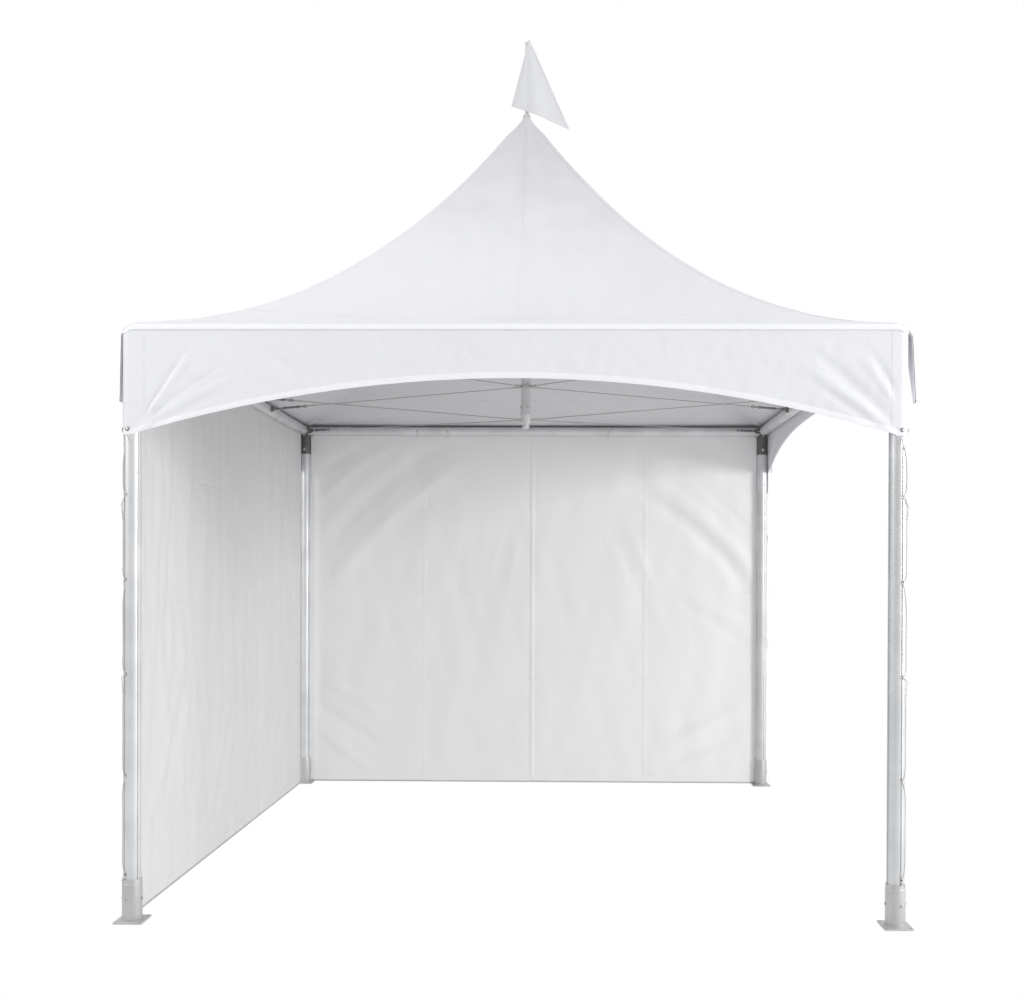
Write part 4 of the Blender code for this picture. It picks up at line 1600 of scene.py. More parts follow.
@dataclass(frozen=True)
class Wall:
    """A sidewall of four panels with seams, fold creases and hems.

    Its own places run from left to right as seen from outside.
    """

    plan: Plan
    side: Side
    finish: Finish
    folds: tuple[Fold, ...]
    seams: tuple[tuple[float, float], ...]
    seed: int
    creases: tuple[float, ...] = (0.672, 1.246, 1.790)
    hem: float = 0.052
    edge_hem: float = 0.035
    ripple_lean: float = 0.0
    ripple: float = 0.0016

    @property
    def node(self) -> str:
        """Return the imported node's name."""
        return f"sidewall_{self.side.label}"

    def limits(self) -> tuple[float, float, float, float, float]:
        """Return the start, stop, lower and upper edge and the distance out of the wall."""
        low, high = node_box(self.node)
        if self.side is Side.BACK:
            reach = float(high[0]) + TO_THE_LEG
            return -reach, reach, float(low[2]), float(high[2]), float(low[1] + high[1]) / 2.0
        reach = TO_THE_LEG - float(low[1])
        return -float(high[1]), reach, float(low[2]), float(high[2]), -float(low[0] + high[0]) / 2.0

    def swell(self, along: Array, height: Array) -> Array:
        """Return how far the cloth stands out from its plane."""
        start, stop, bottom, top, _ = self.limits()
        free = smooth_step(top, top - 0.10, height) * smooth_step(bottom, bottom + 0.05, height)
        free = free * smooth_step(start, start + 0.05, along) * smooth_step(stop, stop - 0.05, along)
        soft = self.ripple * ripples(along, height, (0.12, 0.34), self.ripple_lean, 0.35, self.seed)
        soft = soft + 0.0020 * ripples(along, height, (0.45, 1.3), 0.8, 1.2, self.seed + 50)
        total = (soft + sum_folds(self.folds, along, height)) * free
        for seam, depth in self.seams:
            away, wide = (along - seam) / 0.0075, (along - seam) / 0.035
            total = total + depth * (np.exp(-away * away) - 0.5 * np.exp(-wide * wide))
        for crease in self.creases:
            away = (height - crease) / 0.007
            lengthwise = 0.55 + 0.45 * np.sin(5.0 * along + 3.0 * crease)
            total = total + 0.0014 * lengthwise * np.exp(-away * away)
            for seam, _ in self.seams:
                star = np.hypot(along - seam, height - crease)
                fan = np.arctan2(height - crease, along - seam)
                total = total + 0.0024 * np.sin(4.0 * fan + seam * 9.0) * np.exp(-star / 0.035) * smooth_step(0.0, 0.02, star)
        return total

    def skin(self, along: Array, height: Array, lift: float | Array = 0.0) -> Array:
        """Return points of the inner face's far side, lifted outwards."""
        out = self.limits()[4] + self.swell(along, height) + lift
        return self.side.place(np.stack((along, -out, height), axis=-1))

    def build(self) -> None:
        """Make the wall, its hems and its stitches."""
        start, stop, bottom, top, _ = self.limits()
        half = 0.5 * self.plan.cloth
        along = stations(start, stop, 0.022, marks=[place for place, _ in self.seams], reach=0.022)
        height = stations(bottom, top, 0.022, marks=self.creases, reach=0.014)
        wide, high = np.meshgrid(along, height)
        shape = Shape()
        shape.cloth(self.skin(wide, high, half), self.skin(wide, high, -half), np.stack((wide, high), axis=-1))
        sheet = settle(shape.build(f"{self.node}_sheet", [self.finish]), Slot.WALL, self.node)
        trim = Shape()
        over = half + 0.0006
        for u_range, v_range in (
            ((start, stop), (bottom, bottom + self.hem)),
            ((start, stop), (top - 0.030, top)),
            ((start, start + self.edge_hem), (bottom + self.hem, top - 0.030)),
            ((stop - self.edge_hem, stop), (bottom + self.hem, top - 0.030)),
            *(((place - 0.013, place + 0.013), (bottom + self.hem, top - 0.030)) for place, _ in self.seams),
        ):
            u, v = np.meshgrid(stations(*u_range, 0.018), stations(*v_range, 0.022))
            trim.cloth(self.skin(u, v, over), self.skin(u, v, -over), np.stack((u, v), axis=-1))
        bands = settle(trim.build(f"{self.node}_hems", [self.finish]), Slot.WALL)
        sewn = stitch(f"{self.node}_stitches", self.sewing(over + 0.0003), slot=Slot.WALL, pitch=0.013)

    def sewing(self, lift: float) -> list[Line]:
        """Return the stitch lines on both faces."""
        start, stop, bottom, top, _ = self.limits()
        lines = []
        level = np.linspace(start + 0.004, stop - 0.004, 160)
        upright = np.linspace(bottom + 0.006, top - 0.006, 140)
        for face in (1.0, -1.0):
            normal = self.side.place(np.array((0.0, -face, 0.0)))
            for height in (bottom + self.hem - 0.004, top - 0.026):
                lines.append(Line(self.skin(level, np.full(160, height), face * lift), normal))
            for place in (start + self.edge_hem - 0.004, stop - self.edge_hem + 0.004):
                lines.append(Line(self.skin(np.full(140, place), upright, face * lift), normal))
        return lines


@dataclass(frozen=True)
class Pennant:
    """The small flag on the pole, a triangle with a soft upright fold."""

    tip: tuple[float, float] = (0.010, 4.147)
    left: tuple[float, float] = (-0.080, 3.794)
    right: tuple[float, float] = (0.221, 3.679)
    plane: float = -0.0120
    cloth: float = 0.0012

    def skin(self, across: Array, down: Array, lift: float | Array = 0.0) -> Array:
        """Return points of the flag at shares across and down it."""
        low = np.array(self.left)[None, None] * (1.0 - across[..., None]) + np.array(self.right) * across[..., None]
        flat = np.array(self.tip) + (low - np.array(self.tip)) * down[..., None]
        fold = 0.016 * down * np.exp(-(((across - 0.42) / 0.20) ** 2)) - 0.010 * down * smooth_step(0.55, 1.0, across)
        fold = fold + 0.007 * down * np.exp(-(((across - 0.12) / 0.12) ** 2))
        y = self.plane - fold - lift
        return np.stack((flat[..., 0], y, flat[..., 1]), axis=-1)

    def build(self) -> None:
        """Make the flag, its hem and its stitches."""
        across, down = np.meshgrid(stations(0.0, 1.0, 0.02), stations(0.02, 1.0, 0.012))
        down = down[::-1]
        shape = Shape()
        front, back = self.skin(across, down, self.cloth), self.skin(across, down)
        uv = np.stack((front[..., 0], front[..., 2]), axis=-1)
        shape.cloth(front, back, uv)
        sheet = settle(shape.build("pennant_cloth", [PENNANT_CLOTH]), Slot.PENNANT, "pennant")
        trim, lines = Shape(), []
        over = 0.0005
        hem = 0.010
        width = float(np.hypot(*np.subtract(self.right, self.left)))
        length = float(np.hypot(*np.subtract(self.tip, self.left)))
        level = np.linspace(0.0, 1.0, 60)[None]
        low_rows = np.array((1.0, 1.0 - 0.5 * hem / length, 1.0 - hem / length))[:, None]
        grids = [(level + 0.0 * low_rows, low_rows + 0.0 * level)]
        drop = np.linspace(1.0, 0.10, 60)[:, None]
        for edge in (0.0, 1.0):
            inward = (1.0 - 2.0 * edge) * hem / (width * drop)
            grids.append((edge + inward * np.array((0.0, 0.5, 1.0))[None], drop + np.zeros((1, 3))))
        for a, d in grids:
            outer, inner = self.skin(a, d, self.cloth + over), self.skin(a, d, -over)
            trim.cloth(outer, inner, np.stack((outer[..., 0], outer[..., 2]), axis=-1))
        for a, d in ((level, low_rows[2:]), (grids[1][0][:, 2:].T, drop.T), (grids[2][0][:, 2:].T, drop.T)):
            line = self.skin(a, d + 0.0 * a, self.cloth + over + 0.0002)[0]
            lines.append(Line(line, np.array((0.0, -1.0, 0.0))))
        bands = settle(trim.build("pennant_hems", [PENNANT_CLOTH]), Slot.PENNANT)
        sewn = stitch("pennant_stitches", lines, slot=Slot.PENNANT, pitch=0.005)


# ---- metal pieces


def bolt_part(radius: float, height: float, washer: float) -> Shape:
    """Return a hexagon bolt head on a washer, standing along +Z."""
    part = Shape()
    thick = 0.18 * height
    part.lathe(rounded(((0.2 * washer, 0.0), (washer, 0.0), (washer, thick), (0.2 * washer, thick)), 0.0006), (0, 0, 0))
    part.lathe(
        rounded(((0.3 * radius, thick), (radius, thick), (radius, 0.85 * height), (0.8 * radius, height), (0.2 * radius, height)), 0.0005),
        (0, 0, 0),
        sides=6,
    )
    return part


def rivet_part(radius: float) -> Shape:
    """Return a domed rivet head, standing along +Z."""
    part = Shape()
    dome = [(radius * math.cos(a), 0.55 * radius * math.sin(a)) for a in np.linspace(0.0, 1.45, 6)]
    part.lathe([(radius, -0.001), *dome], (0, 0, 0), sides=20)
    return part


def polar(radius: float, angle: float, height: float = 0.0) -> Array:
    """Return a point from a radius, an angle in degrees from +X and a height."""
    turn = math.radians(angle)
    return np.array((radius * math.cos(turn), radius * math.sin(turn), height))


def loop(middle: Array, across: Array, up: Array, count: int = 24) -> Array:
    """Return a closed oval round a point from its two half axes."""
    angle = 2.0 * math.pi * np.arange(count) / count
    return middle + np.cos(angle)[:, None] * across + np.sin(angle)[:, None] * up


@dataclass(frozen=True)
class Leg:
    """A round extrusion with four lacing tracks and a column of eyelets."""

    plan: Plan
    corner: Corner
    turns: tuple[float, float] = (50.0, 16.0)
    mouth: float = 0.0047
    depth: float = 0.0034
    eyelets: tuple[float, ...] = (1.668, 1.338, 0.970, 0.574, 0.190)
    eyelet: tuple[float, float] = (0.0042, 0.0064)
    eyelet_turn: float = 25.0
    rivet_z: float = 0.205

    def outline(self) -> Array:
        """Return the section round the leg's own middle."""
        radius, mouth = self.plan.leg_r, self.mouth
        half = math.asin(mouth / radius)
        rim = radius * math.cos(half)
        points = []
        for quarter in range(4):
            middle = math.radians(self.turns[self.corner.value[0] > 0] + 90.0 * quarter)
            ahead = np.array((math.cos(middle), math.sin(middle)))
            left = np.array((-ahead[1], ahead[0]))
            for across, inward in ((-1.0, 0.0), (-1.0, 0.4), (-0.9, 1.0), (0.9, 1.0), (1.0, 0.4), (1.0, 0.0)):
                points.append(ahead * (rim - inward * self.depth) + left * across * mouth)
            for angle in np.linspace(middle + half, middle + 0.5 * math.pi - half, 13)[1:-1]:
                points.append(radius * np.array((math.cos(angle), math.sin(angle))))
        return np.array(points)

    def eyelet_angle(self) -> float:
        """Return the eyelets' angle in degrees, on the outer part of the leg's face."""
        sx, sy = self.corner.value
        return 90.0 * sy + (self.eyelet_turn if sx * sy < 0 else -self.eyelet_turn)

    def build(self) -> None:
        """Make the leg, its eyelet rims and its rivets."""
        middle = self.plan.corner(self.corner)
        name = f"leg_{self.corner.label}"
        shape = Shape()
        shape.prism(self.outline() + middle[:2], self.plan.plate + 0.0003, self.plan.leg_top)
        body = shape.build(f"{name}_extrusion", [LEG_METAL])
        angle = self.eyelet_angle()
        width, height = self.eyelet
        out = polar(1.0, angle)
        side = np.cross(UP, out)
        cutters, rims = [], Shape()
        for k, z in enumerate(self.eyelets):
            spot = middle + UP * z
            start = spot + out * (self.plan.leg_r - 0.006)
            rings = np.array([loop(start + out * far, side * width, UP * height) for far in (0.0, 0.012)])
            cutter = Shape()
            cutter.rings(rings)
            # The cutters' near-black finish passes to the pit walls: painted shade of the leg's hollow inside.
            cutters.append(cutter.build(f"{name}_cut_{k}", [HOLLOW_SHADE]))
            rim = loop(spot + out * self.plan.leg_r, side * (width + 0.0006), UP * (height + 0.0006), 32)
            inward = (rim - spot) @ side
            rim = rim - out * (self.plan.leg_r - np.sqrt(self.plan.leg_r**2 - inward**2))[:, None]
            rims.tube(rim, 0.0011, 8, closed=True)
        settle(carve(body, cutters), Slot.LEG, name)
        settle(rims.build(f"{name}_eyelets", [BOLT_METAL]), Slot.LEG)
        places = [(middle + polar(self.plan.leg_r, angle, z), out) for z in (1.96, self.rivet_z)]
        studs(f"{name}_rivets", rivet_part(0.0042), places, BOLT_METAL, Slot.LEG)


@dataclass(frozen=True)
class Foot:
    """A square base plate with anchor holes and a welded socket tube."""

    plan: Plan
    corner: Corner
    reach: float = 0.056
    hole_at: float = 0.046
    hole_r: float = 0.006
    wall: float = 0.004

    def build(self) -> None:
        """Make the plate and tube, the weld bead and the set screws."""
        middle = self.plan.corner(self.corner)
        name = f"foot_{self.corner.label}"
        plate = Shape()
        span = np.array((self.reach, self.reach, 0.0))
        plate.block(middle - span, middle + span + UP * self.plan.plate, bevel=0.0016)
        cutters = []
        for k, corner in enumerate(Corner):
            cutter = Shape()
            spot = middle + np.array((*(corner.signs * self.hole_at), -0.002))
            cutter.lathe(((self.hole_r, 0.0), (self.hole_r, 0.014)), spot, sides=24)
            cutters.append(cutter.build(f"{name}_cut_{k}", [FOOT_METAL]))
        base = carve(plate.build(f"{name}_plate", [FOOT_METAL]), cutters)
        settle(base, Slot.FOOT, name)
        bore = self.plan.leg_r + 0.0005
        outer = bore + self.wall
        low, top = self.plan.plate - 0.0005, self.plan.socket_top
        step = top - 0.018
        profile = ((bore, low), (outer, low), (outer, step), (outer - 0.0012, step + 0.001), (outer - 0.0012, top), (bore, top))
        tube = Shape()
        ring = rounded((*profile, (bore, 0.5 * top), (bore, low)), 0.0008)
        tube.lathe(ring, middle, sides=48, caps=False)
        settle(tube.build(f"{name}_socket", [FOOT_METAL], weld=1e-6), Slot.FOOT)
        bead = loop(middle + UP * (self.plan.plate + 0.0008), np.array((outer + 0.001, 0, 0)), np.array((0, outer + 0.001, 0)), 60)
        bar = (0.0050, 0.0052, 0.0040)
        weld = grow(f"{name}_weld", "Row along a line", [Line(bead, UP, closed=True)], FOOT_METAL, Pitch=0.0030, Bar=bar)
        settle(weld, Slot.FOOT)
        sx, sy = self.corner.value
        places = [
            (middle + polar(outer, angle, 0.090), polar(1.0, angle))
            for angle in (90.0 * sy + 24.0 * -sx * sy, 90.0 - 90.0 * sx, 90.0 + 90.0 * sx)
        ]
        studs(f"{name}_screws", bolt_part(0.0048, 0.0042, 0.0066), places, BOLT_METAL, Slot.FOOT)


@dataclass(frozen=True)
class CornerFitting:
    """The painted sleeve with two stubs, a lug for a stay, and pins."""

    plan: Plan
    corner: Corner
    sleeve_r: float = 0.031
    sleeve_top: float = 2.3295
    stub: float = 0.066
    lug_reach: float = 0.062

    def build(self) -> None:
        """Make the fitting, its lug and its bolts."""
        plan, middle = self.plan, self.plan.corner(self.corner)
        sx, sy = self.corner.value
        name = f"corner_fitting_{self.corner.label}"
        low, high = plan.leg_top + 0.0004, self.sleeve_top
        shape = Shape()
        skirt = ((self.sleeve_r, low), (self.sleeve_r, low + 0.012), (self.sleeve_r - 0.001, low + 0.014))
        shoulder = ((self.sleeve_r - 0.001, high - 0.030), (0.026, high - 0.018), (0.018, high - 0.008), (0.008, high - 0.004))
        shape.lathe(rounded((*skirt, *shoulder), 0.003), middle, sides=48)
        stub_r = plan.rail_r - 0.0008
        for direction in ((-sx, 0, 0), (0, -sy, 0)):
            profile = ((stub_r, 0.0), (stub_r, self.stub - 0.006), (stub_r - 0.0025, self.stub - 0.0055), (stub_r - 0.0025, self.stub))
            shape.lathe(rounded(profile, 0.0008), middle + UP * plan.rail_z, direction, sides=40)
        arm = Shape()
        arm.block((0.018, -0.008, -0.015), (self.lug_reach, 0.008, 0.015), bevel=0.003)
        arm.lathe(rounded(((0.008, -0.0095), (0.008, 0.0095)), 0.001), (self.lug_reach - 0.012, 0, 0), (0, 1, 0), sides=24)
        body = shape.build(name + "_body", [DARK_PAINT])
        settle(body, Slot.FITTING, name)
        lug = arm.turned((-sx, -sy, 0), middle + UP * plan.rail_z).build(name + "_lug", [DARK_PAINT])
        settle(lug, Slot.FITTING)
        places = []
        for angle in (90.0 - 90.0 * sx, 90.0 * -sy):
            out = polar(1.0, angle)
            places.append((middle + UP * (low + 0.030) + out * (self.sleeve_r - 0.001), out))
        for along, facing in (((-sx, 0, 0), (0, -sy, 0)), ((0, -sy, 0), (-sx, 0, 0))):
            spot = middle + UP * plan.rail_z + np.array(along) * (self.stub - 0.020)
            places.append((spot + np.array(facing) * stub_r, np.array(facing, dtype=float)))
            places.append((spot - UP * stub_r, -UP))
        studs(name + "_bolts", bolt_part(0.0062, 0.0070, 0.0088), places, BOLT_METAL, Slot.FITTING)


@dataclass(frozen=True)
class Rail:
    """An eave rail with dark end collars, and stay lugs on the side rails."""

    plan: Plan
    side: Side
    lug_out: float = 0.014
    lug_at: tuple[float, ...] = (0.500, 0.080)

    def build(self) -> None:
        """Make the rail, its collars, its pins and its lugs."""
        plan = self.plan
        name = f"eave_rail_{self.side.label}"
        low, high = node_box(name)
        end = float(max(high[0], high[1])) if self.side in (Side.FRONT, Side.BACK) else float(high[1])
        place = self.side.place
        start = place(np.array((-end, -plan.half, plan.rail_z)))
        along = place(np.array((1.0, 0.0, 0.0)))
        r = plan.rail_r - 0.0004
        metal = RAIL_METAL_X if self.side in (Side.FRONT, Side.BACK) else RAIL_METAL_Y
        bar = Shape()
        bar.lathe(rounded(((r - 0.004, 0.0), (r, 0.0), (r, 2.0 * end), (r - 0.004, 2.0 * end)), 0.0012), start, along, sides=48)
        settle(bar.build(f"{name}_tube", [metal]), Slot.RAIL, name)
        fittings = Shape()
        for share in (0.004, 2.0 * end - 0.016):
            fittings.lathe(rounded(((r, share), (r + 0.0016, share), (r + 0.0016, share + 0.012), (r, share + 0.012)), 0.0008), start, along, sides=48, caps=False)
        if self.side in (Side.LEFT, Side.RIGHT):
            inward = -place(np.array((0.0, -1.0, 0.0)))[0]
            for y in self.lug_at:
                near = inward * -(plan.half - 0.5 * plan.rail_r)
                far = inward * -(plan.half - plan.rail_r - self.lug_out)
                fittings.block(
                    (min(near, far), y - 0.008, plan.rail_z - 0.015), (max(near, far), y + 0.008, plan.rail_z + 0.015), 0.0025
                )
        settle(fittings.build(f"{name}_collars", [DARK_PAINT]), Slot.RAIL)
        inner = place(np.array((0.0, 1.0, 0.0)))
        pins = [(start + along * far + inner * r, inner) for far in (0.045, 2.0 * end - 0.045)]
        studs(f"{name}_pins", rivet_part(0.0046), pins, BOLT_METAL, Slot.RAIL)


@dataclass(frozen=True)
class Mast:
    """The hanging mast with its foot, collar and stay ring."""

    plan: Plan
    mast_r: float = 0.024
    foot: tuple[float, float, float] = (2.125, 2.156, 2.263)
    neck_r: float = 0.0185
    body_r: float = 0.026
    collar: tuple[float, float, float] = (0.030, 2.192, 2.204)
    ring: tuple[float, float, float] = (0.036, 2.334, 2.350)

    def build(self) -> None:
        """Make the three parts and their bolts."""
        mast = Shape()
        top = float(node_box("mast")[1][2])
        mast.lathe(rounded(((self.mast_r, self.foot[2] + 0.0003), (self.mast_r, top)), 0.001), (0, 0, 0), sides=40)
        settle(mast.build("mast_tube", [MAST_METAL]), Slot.MAST, "mast")
        foot = Shape()
        low, neck, high = self.foot
        c_r, c_low, c_high = self.collar
        profile = (
            (self.neck_r - 0.004, low), (self.neck_r, low + 0.003), (self.neck_r, neck), (self.body_r, neck),
            (self.body_r, c_low), (c_r, c_low), (c_r, c_high), (self.body_r, c_high), (self.body_r, high - 0.004),
            (self.body_r - 0.001, high),
        )
        foot.lathe(rounded(profile, 0.0015), (0, 0, 0), sides=40)
        settle(foot.build("mast_foot_socket", [MAST_METAL]), Slot.MAST, "mast_foot")
        r, r_low, r_high = self.ring
        ring = Shape()
        bore = self.mast_r + 0.0006
        ring.lathe(rounded(((bore, r_low), (r, r_low), (r, r_high), (bore, r_high), (bore, 0.5 * (r_low + r_high)), (bore, r_low)), 0.0012), (0, 0, 0), sides=48, caps=False)
        settle(ring.build("stay_ring_band", [BOLT_METAL], weld=1e-6), Slot.FITTING, "stay_ring")
        places = [(polar(self.body_r - 0.001, a, 2.235), polar(1.0, a)) for a in (20.0, 110.0, 200.0, 290.0)]
        studs("mast_foot_bolts", bolt_part(0.005, 0.0055, 0.0072), places, BOLT_METAL, Slot.MAST)


@dataclass(frozen=True)
class Stay:
    """A wire rope stay with clamps and a straining screw with an eye at each end."""

    plan: Plan
    label: str
    rope_r: float = 0.0030
    screw_back: float = 0.030
    screw_length: float = 0.170
    barrel_r: float = 0.0080

    def build(self) -> None:
        """Make the rope, the screw and the wire clamps."""
        name = f"stay_{self.label}"
        start, end = axis_of(name)
        along = unit(end - start)
        length = float(np.linalg.norm(end - start))
        screw_end = length - self.screw_back
        screw_start = screw_end - self.screw_length
        path = start + along * np.linspace(0.0, screw_start + 0.006, 40)[:, None]
        rope = grow(
            f"{name}_rope", "Rope along a line", [Line(path, UP)], WIRE_METAL,
            Radius=0.86 * self.rope_r, Lobes=6.0, Depth=0.16, Twists=22.0, Step=0.013,
        )
        settle(rope, Slot.STAY, name)
        screw = Shape()
        low, high = screw_start + 0.030, screw_end - 0.030
        thin = 0.0034
        profile = (
            (thin, screw_start), (thin, low), (self.barrel_r, low + 0.003), (self.barrel_r, low + 0.018),
            (0.78 * self.barrel_r, low + 0.022), (0.78 * self.barrel_r, high - 0.022), (self.barrel_r, high - 0.018),
            (self.barrel_r, high - 0.003), (thin, high), (thin, length - 0.002),
        )
        screw.lathe(rounded(profile, 0.001), start, along, sides=20)
        side = unit(np.cross(along, UP))
        up = np.cross(side, along)
        screw.tube(loop(start + along * (screw_start - 0.004), along * 0.011, up * 0.0068), 0.0019, 8, closed=True)
        screw.tube(loop(start + along * (length - 0.016), along * 0.012, up * 0.0072), 0.0021, 8, closed=True)
        settle(screw.build(f"{name}_screw", [SCREW_METAL]), Slot.STAY)
        clamps = Shape()
        for far in (screw_start - 0.030, screw_start - 0.055, 0.014, 0.034):
            spot = start + along * far
            clamps.lathe(rounded(((self.rope_r + 0.0016, -0.005), (self.rope_r + 0.0016, 0.005)), 0.001), spot, along, sides=16)
            clamps.tube(loop(spot, side * (self.rope_r + 0.0018), up * (self.rope_r + 0.0034), 20), 0.0011, 8, closed=True)
        settle(clamps.build(f"{name}_clamps", [BOLT_METAL]), Slot.STAY)


@dataclass(frozen=True)
class Peak:
    """The cap that clamps the roof sheet and the pole that stands in it."""

    cap: tuple[tuple[float, float], ...] = (
        (0.024, 3.6403), (0.024, 3.652), (0.0155, 3.660), (0.0155, 3.7444), (0.0205, 3.7444), (0.0205, 3.7494),
        (0.0165, 3.7505), (0.0150, 3.756), (0.0115, 3.756),
    )
    pole_r: float = 0.0105

    def build(self) -> None:
        """Make the cap and the pole."""
        cap = Shape()
        cap.lathe(rounded(self.cap, 0.0018), (0, 0, 0), sides=48)
        settle(cap.build("peak_cap_flange", [MAST_METAL]), Slot.FITTING, "peak_cap")
        pole = Shape()
        low, high = (float(corner[2]) for corner in node_box("pennant_pole"))
        profile = ((self.pole_r, low), (self.pole_r, high - 0.008), (self.pole_r + 0.0012, high - 0.007), (self.pole_r + 0.0012, high - 0.002), (0.004, high))
        pole.lathe(rounded(profile, 0.001), (0, 0, 0), sides=32)
        settle(pole.build("pennant_pole_tube", [MAST_METAL]), Slot.MAST, "pennant_pole")


@dataclass(frozen=True)
class Lacing:
    """The braided cord that runs down a leg from eyelet to eyelet, with its loops and knots."""

    plan: Plan
    corner: Corner
    cord_r: float = 0.0021

    def at(self, turn: float, z: float, away: float = 0.0) -> Array:
        """Return a point beside the leg, its angle counted outwards from the leg's face."""
        sx, sy = self.corner.value
        angle = 90.0 * sy + (turn if sx * sy < 0 else -turn)
        return self.plan.corner(self.corner) + polar(self.plan.leg_r + self.cord_r + away, angle, z)

    def knot(self, spot: Array, size: float) -> Array:
        """Return the line of a small round knot."""
        turn = np.linspace(0.0, 2.0 * math.pi, 40)
        x = np.sin(turn) + 2.0 * np.sin(2.0 * turn)
        y = np.cos(turn) - 2.0 * np.cos(2.0 * turn)
        z = -np.sin(3.0 * turn)
        out = unit(spot - self.plan.corner(self.corner) - UP * spot[2])
        side = np.cross(UP, out)
        return spot + size * (side * (x / 3.0)[:, None] + UP * (y / 3.0)[:, None] + out * (0.5 * z)[:, None])

    def build(self) -> None:
        """Make the cord with its loops, and the knots."""
        at = self.at
        runs = [
            [at(18, 1.8995), at(8, 1.886), at(-3, 1.872), at(-12, 1.886), at(-21, 1.8995)],
            [at(26, 1.862, -0.006), at(30, 1.855), at(52, 1.80), at(66, 1.74), at(50, 1.69), at(28, 1.672), at(25, 1.668, -0.007)],
            [at(25, 1.668, -0.007), at(32, 1.662), at(58, 1.646, 0.002), at(74, 1.622, 0.003), at(80, 1.598, 0.003), at(78, 1.583)],
            [at(40, 1.650, 0.003), at(68, 1.632, 0.005), at(88, 1.605, 0.003), at(84, 1.586, 0.001), at(78, 1.583)],
            [at(78, 1.583), at(80, 1.54), at(76, 1.48), at(79, 1.42), at(74, 1.372), at(52, 1.352), at(30, 1.340), at(25, 1.338, -0.007)],
            [at(25, 1.338, -0.007), at(30, 1.322, -0.001), at(60, 1.25), at(78, 1.16), at(82, 1.07), at(70, 1.00), at(34, 0.974), at(25, 0.970, -0.007)],
            [at(25, 0.970, -0.007), at(40, 0.965, 0.002), at(78, 0.952, 0.004), at(90, 0.925, 0.003), at(84, 0.903, 0.001)],
            [at(84, 0.903), at(76, 0.84), at(80, 0.74), at(74, 0.64), at(44, 0.582), at(25, 0.574, -0.007)],
            [at(25, 0.574, -0.007), at(34, 0.560), at(70, 0.50), at(80, 0.40), at(76, 0.30), at(66, 0.235), at(36, 0.196), at(25, 0.190, -0.007)],
        ]
        lines = [Line(through(run, 0.006), UP) for run in runs]
        for spot, size in ((at(78, 1.581), 0.0062), (at(75, 1.372), 0.005), (at(84, 0.901), 0.006), (at(32, 0.178, 0.001), 0.006)):
            lines.append(Line(self.knot(spot, size), UP, closed=True))
        lines.append(Line(through([at(36, 0.180), at(46, 0.170, 0.002), at(52, 0.160, 0.004)], 0.004), UP))
        name = f"lacing_cord_{self.corner.label}"
        cord = grow(name + "_braid", "Rope along a line", lines, CORD_BRAID, Radius=self.cord_r, Lobes=3.0, Depth=0.10, Twists=28.0, Step=0.007)
        settle(cord, Slot.CORD, name)


def tie(name: str, middle: Array, along: Array, radius: float, slot: Slot = Slot.CORD) -> None:
    """Tie a short cord twice round a rail, with a knot under it."""
    across = unit(np.cross(along, UP))
    lines = []
    for shift in (-0.0026, 0.0026):
        ring = loop(middle + along * shift, across * radius, UP * radius, 40)
        lines.append(Line(ring, UP, closed=True))
    low = middle - UP * (radius + 0.002)
    lines.append(Line(through([low - along * 0.005, low - UP * 0.006, low + along * 0.005, low + UP * 0.001], 0.002), UP))
    cord = grow(name, "Rope along a line", lines, CORD_BRAID, Radius=0.0019, Lobes=3.0, Depth=0.1, Twists=28.0, Step=0.005)
    settle(cord, slot)


# ---- studio


@dataclass(frozen=True)
class SoftLight:
    """A square soft light that faces a target."""

    name: str
    place: tuple[float, float, float]
    target: tuple[float, float, float]
    size: float
    power: float

    def build(self) -> None:
        """Add the light."""
        data = bpy.data.lights.new(self.name, "AREA")
        data.size, data.energy = self.size, self.power
        item = bpy.data.objects.new(self.name, data)
        item.location = self.place
        item.rotation_euler = (Vector(self.target) - Vector(self.place)).to_track_quat("-Z", "Y").to_euler()
        bpy.context.scene.collection.objects.link(item)


